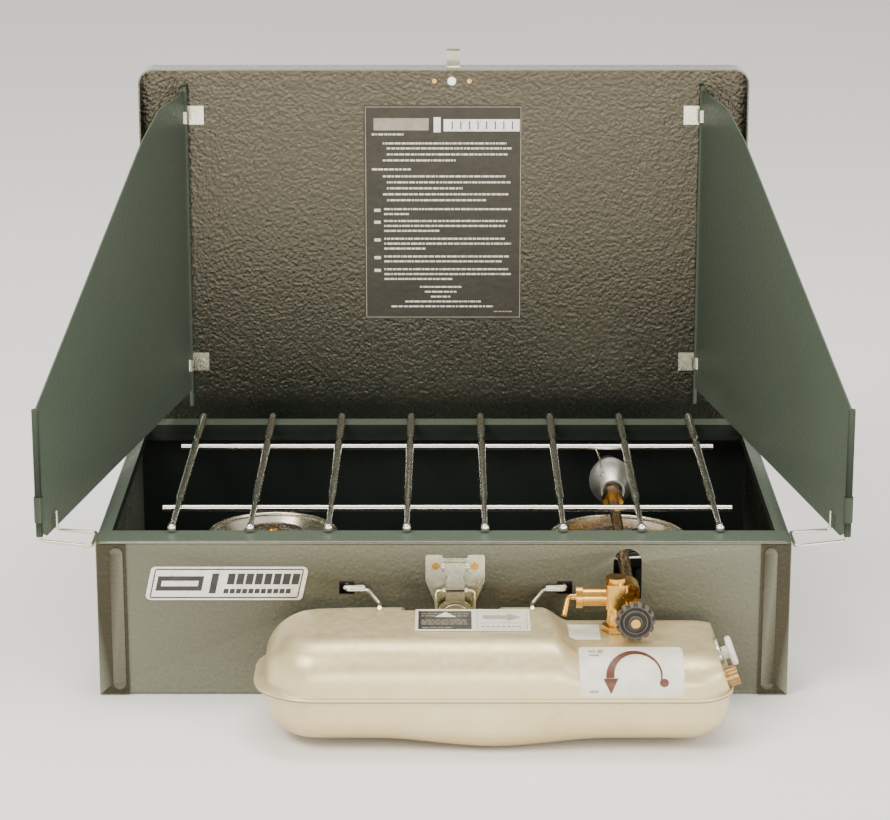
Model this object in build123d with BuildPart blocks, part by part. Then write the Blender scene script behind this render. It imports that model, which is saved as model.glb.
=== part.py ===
from build123d import *
import math
import os

os.makedirs("parts", exist_ok=True)

# Two-burner liquid-fuel suitcase stove, standing open: lid up, wind baffles
# spread and stayed, fuel tank hung on the front.
# While it is drawn, X runs to the right, Y to the back with zero at the front
# face of the case, and Z up from the table. At the end every piece is moved
# forward by half the case depth, so the origin is the middle of the base.

# ---- case -------------------------------------------------------------
CASE_W = 452.0        # over the two end panels
CASE_D = 290.0        # front face to rear face
CASE_H = 106.0        # table to rim
SHEET = 1.2           # steel sheet
WRAP_X = CASE_W / 2 - SHEET
FRONT_RIM = 22.0      # width of the front rim
REAR_RIM = 18.0
SIDE_RIM = 8.5

# ---- lid --------------------------------------------------------------
LID_W = 450.0
LID_L = 289.0
LID_DEEP = 25.0
PIN_Y = CASE_D + 4.0  # hinge pin behind the case
PIN_Z = CASE_H - 39.0
LID_Y = PIN_Y + (CASE_H - PIN_Z)   # open rim plane of the raised lid
LID_Z = PIN_Z + (PIN_Y - CASE_D)   # lower edge of the raised lid
HINGE_X = 130.0

# ---- wind baffles ------------------------------------------------------
BAFFLE_X = 192.0
BAFFLE_Y_L = 346.5
BAFFLE_Y_R = 352.0
BAFFLE_TIP = (258.8, -22.0)
BAFFLE_LOW = 112.5
BAFFLE_ROD_R = 1.6
CLIP_Z = (322.0, 132.0)

# ---- grate ------------------------------------------------------------
BAR_R = 2.8
BAR_PITCH = 51.3
BAR_MID_X = 1.5
BAR_Z = CASE_H + BAR_R + 0.2
CROSS_R = 2.2
CROSS_Y = (75.0, 220.0)

# ---- burners ----------------------------------------------------------
MAIN_AT = (121.0, 128.0)
AUX_AT = (-119.0, 136.0)
BOWL_Z = 66.0
MAIN_BOWL_R = 47.0
AUX_BOWL_R = 44.5

# ---- fuel tank --------------------------------------------------------
TANK_X0, TANK_X1 = -118.0, 180.0
TANK_Y0, TANK_Y1 = -106.0, -8.0
TANK_LOW, TANK_SEAM, TANK_SHELF, TANK_TOP = 4.0, 36.5, 61.5, 71.0
TANK_STEP_X = 76.0
TANK_WALL = 1.2
GEN_X, GEN_Z = 118.5, 86.0
PUMP_AT = (175.0, -60.0, 50.2)
PUMP_TILT = 20.0
FILLER_AT = (177.3, -84.0, 43.6)
KNOB_AT = (120.8, 75.6)

pieces = {}


def bent_wire(points, radius, bend):
    """A round wire along straight runs joined by bends."""
    with BuildPart() as wire:
        with BuildLine() as route:
            if len(points) > 2:
                FilletPolyline(*points, radius=bend)
            else:
                Line(*points)
        with BuildSketch(Plane(origin=route.line @ 0, z_dir=route.line % 0)):
            Circle(radius)
        sweep()
    return wire


def block(x0, x1, y0, y1, z0, z1, mode=Mode.ADD):
    """A rectangular block between two corners, inside a part."""
    with Locations(((x0 + x1) / 2, (y0 + y1) / 2, (z0 + z1) / 2)):
        Box(x1 - x0, y1 - y0, z1 - z0, mode=mode)


# =======================================================================
# CASE
# =======================================================================

# One sheet folded round the front, the bottom and the back, with its top
# edges turned in to make the front and rear rims.
with BuildPart() as case_wrap:
    with BuildSketch(Plane.YZ):
        with BuildLine():
            t = SHEET
            Polyline(
                (0, 0), (CASE_D, 0), (CASE_D, CASE_H),
                (CASE_D - REAR_RIM, CASE_H), (CASE_D - REAR_RIM, CASE_H - 12),
                (CASE_D - REAR_RIM + t, CASE_H - 12),
                (CASE_D - REAR_RIM + t, CASE_H - t), (CASE_D - t, CASE_H - t),
                (CASE_D - t, t), (t, t), (t, CASE_H - t),
                (FRONT_RIM - t, CASE_H - t), (FRONT_RIM - t, CASE_H - 8),
                (FRONT_RIM, CASE_H - 8), (FRONT_RIM, CASE_H), (0, CASE_H),
                close=True,
            )
        make_face()
    extrude(amount=WRAP_X, both=True)
    outer = [
        e for e in case_wrap.edges().filter_by(Axis.X)
        if (abs(e.center().Y) < 0.01 or abs(e.center().Y - CASE_D) < 0.01)
        and (abs(e.center().Z) < 0.01 or abs(e.center().Z - CASE_H) < 0.01)
    ]
    fillet(outer, radius=2.2)
    # arched port for the generator
    with BuildSketch(Plane.XZ.offset(2)) as port:
        with Locations((GEN_X + 1.3, 0)):
            with BuildLine():
                Polyline(
                    (GEN_X - 7.9, 91.4), (GEN_X - 7.9, 66), (GEN_X + 10.5, 66),
                    (GEN_X + 10.5, 91.4),
                )
                ThreePointArc(
                    (GEN_X + 10.5, 91.4), (GEN_X + 1.3, 100.6),
                    (GEN_X - 7.9, 91.4),
                )
            make_face()
    extrude(amount=-6, mode=Mode.SUBTRACT)
    # slots for the two tank hangers
    for hx in (-63.0, 79.0):
        block(hx - 5, hx + 5, -2, 4, 69.5, 78.5, mode=Mode.SUBTRACT)
pieces["case_wrap"] = case_wrap

for side, name in ((-1, "end_panel_left"), (1, "end_panel_right")):
    with BuildPart() as panel:
        xo, xi = side * CASE_W / 2, side * WRAP_X
        block(min(xo, xi), max(xo, xi), -SHEET, CASE_D + SHEET, 0, CASE_H)
        # returns folded over the front and the back of the wrap
        xr = side * (CASE_W / 2 - 19.5)
        block(min(xo, xr), max(xo, xr), -SHEET, 0, 0.6, CASE_H - 2.4)
        block(min(xo, xr), max(xo, xr), CASE_D, CASE_D + SHEET, 0.6,
              CASE_H - 2.4)
        # side rim
        xs = side * (CASE_W / 2 - SIDE_RIM)
        block(min(xo, xs), max(xo, xs), FRONT_RIM + 0.2,
              CASE_D - REAR_RIM - 0.2, CASE_H - SHEET, CASE_H)
        block(min(xs, xs + side * SHEET), max(xs, xs + side * SHEET),
              FRONT_RIM + 0.2, CASE_D - REAR_RIM - 0.2, CASE_H - 7, CASE_H)
        # stiffening bead pressed down each front return
        with BuildSketch(Plane.XZ.offset(SHEET)):
            with Locations((side * (CASE_W / 2 - 13.3), 53)):
                SlotOverall(98, 8.4, rotation=90)
        extrude(amount=1.0)
        if side < 0:
            # hole for the stem of the auxiliary burner valve
            with Locations(Plane.YZ.offset(-CASE_W / 2 - 1)):
                with Locations((145, 52)):
                    Cylinder(4.08, 10, mode=Mode.SUBTRACT)
    pieces[name] = panel

# Name badge: a plain leaning plate on the left of the front.
with BuildPart() as nameplate:
    with BuildSketch(Plane.XZ) as badge_face:
        with BuildLine():
            Polyline((-190, 88.6), (-87.5, 88.6), (-92.5, 65.8),
                     (-195, 65.8), close=True)
        make_face()
        fillet(badge_face.vertices(), 3.2)
    extrude(amount=0.9)
pieces["nameplate"] = nameplate

# Latch plate, pressed with two ears and two lugs that hold the lever's pin.
LATCH_X = 7.6
with BuildPart() as latch_base:
    with BuildSketch(Plane.XZ) as latch_face:
        with BuildLine():
            Polyline(
                (LATCH_X - 19.3, 97), (LATCH_X - 8, 97), (LATCH_X - 8, 94.8),
                (LATCH_X + 8, 94.8), (LATCH_X + 8, 97), (LATCH_X + 19.3, 97),
                (LATCH_X + 19.3, 79), (LATCH_X + 11.5, 60),
                (LATCH_X - 11.5, 60), (LATCH_X - 19.3, 79), close=True,
            )
        make_face()
        fillet(latch_face.vertices().group_by(Axis.Y)[-1], 1.6)
        fillet(latch_face.vertices().group_by(Axis.Y)[0], 2.5)
        with Locations((LATCH_X - 12.7, 89.4), (LATCH_X + 12.7, 89.4)):
            Circle(1.5, mode=Mode.SUBTRACT)
    extrude(amount=1.4)
    for lx in (LATCH_X - 8.4, LATCH_X + 7.2):
        with BuildSketch(Plane.YZ.offset(lx)):
            with Locations((-3.2, 90)):
                SlotCenterToCenter(4.0, 6.0)
            with Locations((-5.0, 90)):
                Circle(1.5, mode=Mode.SUBTRACT)
        extrude(amount=1.2)
    block(LATCH_X - 20, LATCH_X + 20, 0, 2.5, 80, 100, mode=Mode.SUBTRACT)
pieces["latch_base"] = latch_base

with BuildPart() as latch_rivets:
    for rx in (LATCH_X - 12.7, LATCH_X + 12.7):
        with Locations(Plane(origin=(rx, -1.4, 89.4), z_dir=(0, -1, 0))):
            Cylinder(2.6, 0.5, align=(Align.CENTER, Align.CENTER, Align.MIN))
            Cylinder(1.9, 1.1, align=(Align.CENTER, Align.CENTER, Align.MIN))
            Cylinder(1.45, 1.4, align=(Align.CENTER, Align.CENTER, Align.MAX))
pieces["latch_rivets"] = latch_rivets

with BuildPart() as latch_pin:
    with Locations(Plane.YZ.offset(LATCH_X)):
        with Locations((-5.0, 90)):
            Cylinder(1.5, 18.2)
pieces["latch_pin"] = latch_pin

# Latch lever: a strip round the pin, ending in a thumb tab.
with BuildPart() as latch_lever:
    with Locations(Plane.YZ.offset(LATCH_X)):
        with Locations((-5.0, 90)):
            Cylinder(2.9, 13.2)
    with BuildSketch(Plane.XZ.offset(6.7)):
        with BuildLine():
            Polyline(
                (LATCH_X - 6.6, 93.6), (LATCH_X + 6.6, 93.6),
                (LATCH_X + 6.6, 89), (LATCH_X + 5, 84.5),
                (LATCH_X + 6.2, 79), (LATCH_X + 6.2, 66),
                (LATCH_X - 6.2, 66), (LATCH_X - 6.2, 79),
                (LATCH_X - 5, 84.5), (LATCH_X - 6.6, 89), close=True,
            )
        make_face()
    extrude(amount=1.3)
    with BuildSketch(Plane.XZ.offset(6.7)):
        with Locations((LATCH_X, 60)):
            Rectangle(22.6, 5.2)
        with Locations((LATCH_X, 61.2)):
            Ellipse(11.3, 6.6)
    extrude(amount=1.3)
    # eyes for the bail
    for lx in (LATCH_X - 8.2, LATCH_X + 6.2):
        with BuildSketch(Plane.YZ.offset(lx)):
            with Locations((-7.4, 74.5)):
                Circle(2.1)
        extrude(amount=2.0)
    with Locations(Plane.YZ.offset(LATCH_X)):
        with Locations((-5.0, 90)):
            Cylinder(1.56, 20, mode=Mode.SUBTRACT)
        with Locations((-7.4, 74.5)):
            Cylinder(1.0, 30, mode=Mode.SUBTRACT)
pieces["latch_lever"] = latch_lever

# Wire bail that pulls the lid catch down when the stove is shut.
pieces["latch_bail"] = bent_wire(
    [(LATCH_X - 6.6, -7.4, 74.5), (LATCH_X - 12.6, -7.4, 74.5),
     (LATCH_X - 12.6, -9.9, 58.6), (LATCH_X + 12.6, -9.9, 58.6),
     (LATCH_X + 12.6, -7.4, 74.5), (LATCH_X + 6.6, -7.4, 74.5)], 0.94, 2.4)

# Case half of the two lid hinges, with the pin pressed in.
with BuildPart() as case_hinges:
    for hx in (-HINGE_X, HINGE_X):
        block(hx - 18, hx + 18, CASE_D, CASE_D + 1.3, 42, 62.6)
        for kx in (hx - 13.2, hx + 13.2):
            with Locations(Plane.YZ.offset(kx)):
                with Locations((PIN_Y, PIN_Z)):
                    Cylinder(3.2, 9.4)
            block(kx - 4.7, kx + 4.7, CASE_D, CASE_D + 1.3, 60, 68)
            block(kx - 4.7, kx + 4.7, CASE_D, PIN_Y, PIN_Z - 3.0,
                  PIN_Z - 1.8)
        with Locations(Plane.YZ.offset(hx)):
            with Locations((PIN_Y, PIN_Z)):
                Cylinder(1.5, 60, mode=Mode.SUBTRACT)
pieces["case_hinges"] = case_hinges

with BuildPart() as hinge_pins:
    for hx in (-HINGE_X, HINGE_X):
        with Locations(Plane.YZ.offset(hx)):
            with Locations((PIN_Y, PIN_Z)):
                Cylinder(1.5, 38)
pieces["hinge_pins"] = hinge_pins

with BuildPart() as hinge_rivets:
    for hx in (-HINGE_X, HINGE_X):
        for rx in (hx - 11, hx + 11):
            with Locations(Plane(origin=(rx, CASE_D + 1.3, 50),
                                 z_dir=(0, 1, 0))):
                Cylinder(3.4, 1.3,
                         align=(Align.CENTER, Align.CENTER, Align.MIN))
pieces["hinge_rivets"] = hinge_rivets

# =======================================================================
# BURNERS AND MANIFOLD
# =======================================================================


def bowl(at, radius):
    """Bright drip bowl with a rolled rim and three pressed steps."""
    with BuildPart() as dish:
        with BuildSketch(Plane.XZ.offset(-at[1])):
            with BuildLine():
                r = radius
                Polyline(
                    (at[0] + 19, 51), (at[0] + r * 0.55, 51),
                    (at[0] + r * 0.72, 57), (at[0] + r * 0.80, 57.6),
                    (at[0] + r * 0.93, 64.6), (at[0] + r, BOWL_Z),
                    (at[0] + r, BOWL_Z + 1.2), (at[0] + r * 0.92, 65.9),
                    (at[0] + r * 0.79, 58.9), (at[0] + r * 0.71, 58.2),
                    (at[0] + r * 0.54, 52.2), (at[0] + 19, 52.2), close=True,
                )
            make_face()
        revolve(axis=Axis((at[0], at[1], 0), (0, 0, 1)))
        with Locations((at[0], at[1], BOWL_Z + 0.4)):
            Torus(radius, 1.5)
    return dish


pieces["main_bowl"] = bowl(MAIN_AT, MAIN_BOWL_R)
pieces["aux_bowl"] = bowl(AUX_AT, AUX_BOWL_R)


# Burner rings: one grooved drum on each burner.
with BuildPart() as burner_rings:
    with Locations((*MAIN_AT, 60), (*AUX_AT, 60)):
        Cylinder(17, 14)
    for n in range(7):
        with BuildSketch(Plane.XY.offset(53.2 + n * 1.9)):
            with Locations(MAIN_AT, AUX_AT):
                Circle(22)
        extrude(amount=1.1)
    with Locations((*MAIN_AT, 60), (*AUX_AT, 60)):
        Cylinder(2.0, 30, mode=Mode.SUBTRACT)
pieces["burner_rings"] = burner_rings

# Dished cap on top of each ring pack.
with BuildPart() as burner_caps:
    for at in (MAIN_AT, AUX_AT):
        with BuildSketch(Plane.XZ.offset(-at[1])):
            with BuildLine():
                Polyline(
                    (at[0], 67), (at[0] + 21, 67), (at[0] + 21, 68),
                    (at[0] + 12, 69.6), (at[0] + 7, 69.6), (at[0] + 5, 69),
                    (at[0], 69), close=True,
                )
            make_face()
        revolve(axis=Axis((at[0], at[1], 0), (0, 0, 1)))
        with Locations((at[0], at[1], 68)):
            Cylinder(2.0, 6, mode=Mode.SUBTRACT)
pieces["burner_caps"] = burner_caps

with BuildPart() as burner_screws:
    for at in (MAIN_AT, AUX_AT):
        with Locations((at[0], at[1], 69)):
            Cylinder(3.9, 2.0, align=(Align.CENTER, Align.CENTER, Align.MIN))
            Cylinder(1.95, 14, align=(Align.CENTER, Align.CENTER, Align.MAX))
        with Locations((at[0], at[1], 71)):
            Box(6.6, 0.9, 0.9, mode=Mode.SUBTRACT)
pieces["burner_screws"] = burner_screws

# Cups that carry the burner heads, each on a foot riveted to the bottom.
with BuildPart() as burner_cups:
    for at in (MAIN_AT, AUX_AT):
        with BuildSketch(Plane.XY.offset(SHEET)):
            with Locations(at):
                Circle(13)
        extrude(amount=51 - SHEET)
        with BuildSketch(Plane.XY.offset(SHEET)):
            with Locations(at):
                RectangleRounded(64, 30, 6)
        extrude(amount=1.4)
        with BuildSketch(Plane.XY.offset(47)):
            with Locations(at):
                Circle(18.6)
        extrude(amount=6)
        with Locations((at[0], at[1], 50)):
            Cylinder(1.95, 12, mode=Mode.SUBTRACT)
    with Locations(Plane.YZ):
        with Locations((130, 33)):
            Cylinder(8.5, 240 - 18, mode=Mode.SUBTRACT)
pieces["burner_cups"] = burner_cups

# Tube that feeds the auxiliary burner from the main one.
with BuildPart() as crossover_tube:
    with Locations(Plane.YZ):
        with Locations((130, 33)):
            Cylinder(8.4, 220)
            Cylinder(7.2, 230, mode=Mode.SUBTRACT)
pieces["crossover_tube"] = crossover_tube

# Mixing tube: from the bell behind the main burner, down and forward.
BELL_AT = (120.0, 205.0, 84.0)
pieces["mixing_tube"] = bent_wire(
    [(120, 229, 84), (120, 252, 84), (120, 252, 27), (120, 142, 27)], 8.0, 15)

# Mixing bell: a round bulb, open at the front where the jet blows in.
with BuildPart() as mixing_bell:
    with BuildSketch(Plane.XY.offset(BELL_AT[2])):
        with BuildLine():
            bx, by = BELL_AT[0], BELL_AT[1]
            Spline((bx + 8.4, by - 27), (bx + 12.5, by - 18),
                   (bx + 15.6, by - 2), (bx + 12.8, by + 14),
                   (bx + 8.9, by + 26))
            Polyline((bx + 8.9, by + 26), (bx, by + 26), (bx, by + 6),
                     (bx + 6.8, by - 4), (bx + 7.2, by - 27),
                     (bx + 8.4, by - 27))
        make_face()
    revolve(axis=Axis((bx, by, BELL_AT[2]), (0, 1, 0)))
    with Locations(Plane.XZ.offset(-(by + 18))):
        with Locations((bx, BELL_AT[2])):
            Cylinder(8.05, 20, mode=Mode.SUBTRACT)
pieces["mixing_bell"] = mixing_bell

# Auxiliary burner valve on the left end: packing nut, stem and lever.
with BuildPart() as aux_valve_nut:
    with BuildSketch(Plane.YZ.offset(-CASE_W / 2)):
        with Locations((145, 52)):
            RegularPolygon(8, 6)
            Circle(4.08, mode=Mode.SUBTRACT)
    extrude(amount=-5)
pieces["aux_valve_nut"] = aux_valve_nut

with BuildPart() as aux_valve_lever:
    with Locations(Plane.YZ.offset(-CASE_W / 2 + 6)):
        with Locations((145, 52)):
            Cylinder(4.0, 34)
    with BuildSketch(Plane.YZ.offset(-CASE_W / 2 - 9)):
        with Locations((145, 41)):
            SlotOverall(36, 11, rotation=90)
    extrude(amount=2.2)
    with Locations(Plane.YZ.offset(-CASE_W / 2 - 11)):
        with Locations((145, 52)):
            Cylinder(5.2, 5)
pieces["aux_valve_lever"] = aux_valve_lever

# =======================================================================
# LID
# =======================================================================

with BuildPart() as lid_shell:
    with BuildSketch(Plane.XZ.offset(-LID_Y)):
        with Locations((0, LID_Z + LID_L / 2)):
            RectangleRounded(LID_W, LID_L, 11)
    extrude(amount=-LID_DEEP)
    fillet(lid_shell.faces().sort_by(Axis.Y)[-1].edges(), radius=4)
    with BuildSketch(Plane.XZ.offset(-LID_Y + 1)):
        with Locations((0, LID_Z + LID_L / 2)):
            RectangleRounded(LID_W - 2 * SHEET, LID_L - 2 * SHEET, 9.8)
    extrude(amount=-(LID_DEEP - SHEET + 1), mode=Mode.SUBTRACT)
pieces["lid_shell"] = lid_shell
PANEL_Y = LID_Y + LID_DEEP - SHEET   # inner face of the lid's panel

with BuildPart() as lid_hinge_straps:
    for hx in (-HINGE_X, HINGE_X):
        with Locations(Plane.YZ.offset(hx)):
            with Locations((PIN_Y, PIN_Z)):
                Cylinder(3.2, 16.2)
        block(hx - 8.1, hx + 8.1, PIN_Y, LID_Y + 18, LID_Z - 1.6,
              LID_Z - 0.1)
        with Locations(Plane.YZ.offset(hx)):
            with Locations((PIN_Y, PIN_Z)):
                Cylinder(1.56, 30, mode=Mode.SUBTRACT)
pieces["lid_hinge_straps"] = lid_hinge_straps

# Catch that the bail pulls on: a strip folded over the lid's front wall.
LID_TOP = LID_Z + LID_L
with BuildPart() as lid_catch:
    with BuildSketch(Plane.YZ.offset(2.2)):
        with BuildLine():
            Polyline(
                (LID_Y + 6, LID_TOP + 0.05), (LID_Y + 18, LID_TOP + 0.05),
                (LID_Y + 18, LID_TOP + 1.4), (LID_Y + 11.6, LID_TOP + 1.4),
                (LID_Y + 9.6, LID_TOP + 13.6), (LID_Y + 5.2, LID_TOP + 15.4),
                (LID_Y + 4.6, LID_TOP + 14.2), (LID_Y + 8.4, LID_TOP + 12.6),
                (LID_Y + 10.2, LID_TOP + 1.4), (LID_Y + 6, LID_TOP + 1.4),
                close=True,
            )
        make_face()
    extrude(amount=9.8)
pieces["lid_catch"] = lid_catch

with BuildPart() as lid_rivets:
    for rx, rr in ((-7.0, 1.7), (6.0, 3.1), (19.0, 1.7)):
        with Locations(Plane(origin=(rx, PANEL_Y, 347.6), z_dir=(0, -1, 0))):
            Cylinder(rr, 0.8, align=(Align.CENTER, Align.CENTER, Align.MIN))
            Cylinder(rr * 0.66, 1.3,
                     align=(Align.CENTER, Align.CENTER, Align.MIN))
pieces["lid_rivets"] = lid_rivets

# Instruction panel: a thin blank decal on the inside of the lid.
with BuildPart() as lid_decal:
    with BuildSketch(Plane.XZ.offset(-PANEL_Y)):
        with Locations((-0.8, 247.5)):
            RectangleRounded(118, 164, 1.5)
    extrude(amount=0.35)
pieces["lid_decal"] = lid_decal

with BuildPart() as baffle_clips:
    for side, hy in ((-1, BAFFLE_Y_L), (1, BAFFLE_Y_R)):
        for cz in CLIP_Z:
            x_out, x_in = side * (BAFFLE_X + 6.5), side * (BAFFLE_X - 13)
            block(min(x_out, x_in), max(x_out, x_in), PANEL_Y - 1.1,
                  PANEL_Y - 0.05, cz - 7, cz + 7)
            with Locations((side * BAFFLE_X, hy, cz)):
                Cylinder(2.9, 9)
            block(side * BAFFLE_X - 2.0, side * BAFFLE_X + 2.0, hy,
                  PANEL_Y - 0.05, cz - 4.5, cz + 4.5)
            with Locations((side * BAFFLE_X, hy, cz)):
                Cylinder(BAFFLE_ROD_R + 0.06, 20, mode=Mode.SUBTRACT)
pieces["baffle_clips"] = baffle_clips

# Rivets of the baffle clips and of the hinge straps.
with BuildPart() as clip_rivets:
    for hx in (-HINGE_X, HINGE_X):
        for ry in (LID_Y + 5, LID_Y + 13):
            with Locations((hx, ry, LID_Z - 1.6)):
                Cylinder(2.4, 1.2,
                         align=(Align.CENTER, Align.CENTER, Align.MAX))
    for side in (-1, 1):
        for cz in CLIP_Z:
            with Locations(Plane(origin=(side * (BAFFLE_X - 7.5),
                                         PANEL_Y - 1.1, cz),
                                 z_dir=(0, -1, 0))):
                Cylinder(2.7, 0.6,
                         align=(Align.CENTER, Align.CENTER, Align.MIN))
                Cylinder(1.8, 1.2,
                         align=(Align.CENTER, Align.CENTER, Align.MIN))
pieces["clip_rivets"] = clip_rivets

# =======================================================================
# WIND BAFFLES AND THEIR STAYS
# =======================================================================
for side, hy, tag in ((-1, BAFFLE_Y_L, "left"), (1, BAFFLE_Y_R, "right")):
    hx = side * BAFFLE_X
    dx, dy = side * BAFFLE_TIP[0] - hx, BAFFLE_TIP[1] - hy
    width = math.hypot(dx, dy)
    along = Vector(dx / width, dy / width, 0)
    flat = Plane(origin=(hx, hy, 0), x_dir=along,
                 z_dir=along.cross(Vector(0, 0, 1)))
    up = 1 if flat.y_dir.Z > 0 else -1
    print(tag, "baffle width", round(width, 2), "splay",
          round(math.degrees(math.atan2(abs(dx), -dy)), 3))
    with BuildPart() as sheet:
        with BuildSketch(flat) as outline:
            with BuildLine():
                Polyline(
                    (1.5, up * 341), (70, up * 340), (116, up * 325.5),
                    (width - 1.9, up * 201), (width - 1.9, up * 118.5),
                    (width - 14, up * BAFFLE_LOW),
                    (1.5, up * BAFFLE_LOW), close=True,
                )
            make_face()
            for cz in CLIP_Z:
                with Locations((0, up * cz)):
                    Rectangle(15, 11, mode=Mode.SUBTRACT)
        extrude(amount=0.5, both=True)
    pieces["baffle_" + tag] = sheet
    with BuildPart() as rod:
        with Locations((hx, hy, (100 + 345) / 2)):
            Cylinder(BAFFLE_ROD_R, 245)
    pieces["baffle_rod_" + tag] = rod
    tip = (side * BAFFLE_TIP[0], BAFFLE_TIP[1])
    with BuildPart() as hem:
        with BuildSketch(Plane.XY.offset(BAFFLE_LOW + 4)):
            with Locations(tip):
                Circle(2.3)
                Circle(1.15, mode=Mode.SUBTRACT)
        extrude(amount=201 - BAFFLE_LOW - 4)
        with BuildSketch(Plane.XY.offset(126)):
            with Locations(tip):
                Circle(3.0)
                Circle(2.25, mode=Mode.SUBTRACT)
        extrude(amount=17)
    pieces["baffle_hem_" + tag] = hem
    stay_z = BAFFLE_LOW + 1.0
    pieces["stay_" + tag] = bent_wire(
        [(tip[0], tip[1], 140), (tip[0], tip[1], stay_z),
         (side * 224.2, -33, stay_z), (side * 224.2, -5, stay_z),
         (side * 250.8, 1, stay_z), (side * 250.8, 1, stay_z + 13)],
        1.05, 2.6)

# =======================================================================
# GRATE
# =======================================================================
with BuildPart() as grate_bars:
    for n in range(8):
        bx = BAR_MID_X + BAR_PITCH * (n - 3.5)
        with Locations(Plane.XZ.offset(-150.5)):
            with Locations((bx, BAR_Z)):
                Cylinder(BAR_R, 269)
    fillet(grate_bars.edges().filter_by(GeomType.CIRCLE), 0.8)
pieces["grate_bars"] = grate_bars

with BuildPart() as grate_cross_rods:
    for cy in CROSS_Y:
        with Locations(Plane.YZ.offset(2.6)):
            with Locations((cy, BAR_Z - BAR_R - CROSS_R + 0.5)):
                Cylinder(CROSS_R, 383)
pieces["grate_cross_rods"] = grate_cross_rods

# =======================================================================
# FUEL TANK
# =======================================================================


def tank_form(x0, x1, y0, y1, z0, z1, r_left, r_right, r_edge, top):
    """A drawn half shell as a solid: rounded in plan, round along one end."""
    with BuildPart() as form:
        with BuildSketch(Plane.XY.offset(z0)) as plan:
            with Locations(((x0 + x1) / 2, (y0 + y1) / 2)):
                Rectangle(x1 - x0, y1 - y0)
            fillet(plan.vertices().group_by(Axis.X)[0], r_left)
            fillet(plan.vertices().group_by(Axis.X)[-1], r_right)
        extrude(amount=z1 - z0)
        face = form.faces().sort_by(Axis.Z)[-1 if top else 0]
        fillet(face.edges(), r_edge)
    return form


def upper_form(inset):
    low = tank_form(TANK_X0 + inset, TANK_X1 - inset, TANK_Y0 + inset,
                    TANK_Y1 - inset, TANK_SEAM, TANK_SHELF - inset,
                    38 - inset, 24 - inset, 19 - inset, True)
    high = tank_form(TANK_X0 + 0.2 + inset, TANK_STEP_X - inset,
                     TANK_Y0 + 0.2 + inset, TANK_Y1 - 0.2 - inset,
                     TANK_SEAM, TANK_TOP - inset,
                     38 - inset, 30 - inset, 24 - inset, True)
    with BuildPart() as whole:
        add(low.part)
        add(high.part)
        # leaning end face that carries the pump and the filler
        slant = Plane(
            origin=(PUMP_AT[0] - inset, PUMP_AT[1], PUMP_AT[2]),
            z_dir=(math.cos(math.radians(PUMP_TILT)), 0,
                   math.sin(math.radians(PUMP_TILT))),
        )
        split(bisect_by=slant, keep=Keep.BOTTOM)
    return whole




def latch_recess(grow):
    """Pocket in the rear shoulder of the tank, so the latch can swing."""
    with BuildPart() as pocket:
        with BuildSketch(Plane.XZ.offset(34 + grow)) as mouth:
            with BuildLine():
                Polyline(
                    (-25 - grow, 49 - grow), (35.5 + grow, 49 - grow),
                    (35.5 + grow, 64), (44.5 + grow, 80), (-31 - grow, 80),
                    (-25 - grow, 64), close=True,
                )
            make_face()
        extrude(amount=-44 - grow)
    return pocket


upper_solid, upper_hollow = upper_form(0), upper_form(TANK_WALL)
lower_solid = tank_form(TANK_X0, TANK_X1, TANK_Y0, TANK_Y1, TANK_LOW,
                        TANK_SEAM, 38, 24, 20, False)
lower_hollow = tank_form(TANK_X0 + TANK_WALL, TANK_X1 - TANK_WALL,
                         TANK_Y0 + TANK_WALL, TANK_Y1 - TANK_WALL,
                         TANK_LOW + TANK_WALL, TANK_SEAM, 38 - TANK_WALL,
                         24 - TANK_WALL, 20 - TANK_WALL, False)


def seam_flange(z0, z1):
    """Flat lip round the tank where the two shells are welded."""
    with BuildPart() as lip:
        with BuildSketch(Plane.XY.offset(z0)) as ring:
            with Locations(((TANK_X0 + TANK_X1) / 2,
                            (TANK_Y0 + TANK_Y1) / 2)):
                Rectangle(TANK_X1 - TANK_X0 + 4.4, TANK_Y1 - TANK_Y0 + 4.4)
            fillet(ring.vertices().group_by(Axis.X)[0], 40)
            fillet(ring.vertices().group_by(Axis.X)[-1], 26)
            with BuildSketch(mode=Mode.PRIVATE) as bite:
                with Locations(((TANK_X0 + TANK_X1) / 2,
                                (TANK_Y0 + TANK_Y1) / 2)):
                    Rectangle(TANK_X1 - TANK_X0 - 2, TANK_Y1 - TANK_Y0 - 2)
                fillet(bite.vertices().group_by(Axis.X)[0], 37)
                fillet(bite.vertices().group_by(Axis.X)[-1], 23)
            add(bite.sketch, mode=Mode.SUBTRACT)
        extrude(amount=z1 - z0)
    return lip


pump_dir = Vector(math.cos(math.radians(PUMP_TILT)), 0,
                  math.sin(math.radians(PUMP_TILT)))
pump_plane = Plane(origin=PUMP_AT, x_dir=(0, 1, 0), z_dir=pump_dir)
filler_plane = Plane(origin=FILLER_AT, x_dir=(0, 1, 0), z_dir=pump_dir)
upper_lip, lower_lip = seam_flange(36.5, 37.7), seam_flange(35.3, 36.5)

with BuildPart() as tank_upper_shell:
    add(upper_solid.part)
    add(latch_recess(0).part, mode=Mode.SUBTRACT)
    add(upper_hollow.part - latch_recess(TANK_WALL).part, mode=Mode.SUBTRACT)
    add(upper_lip.part)
    # holes for the valve, the pump barrel, the filler neck and the hangers
    with Locations((110, -46, 60)):
        Cylinder(6.4, 12, mode=Mode.SUBTRACT)
    with Locations(pump_plane):
        Cylinder(9.1, 12, mode=Mode.SUBTRACT)
    with Locations(filler_plane):
        Cylinder(4.6, 12, mode=Mode.SUBTRACT)
pieces["tank_upper_shell"] = tank_upper_shell

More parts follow.
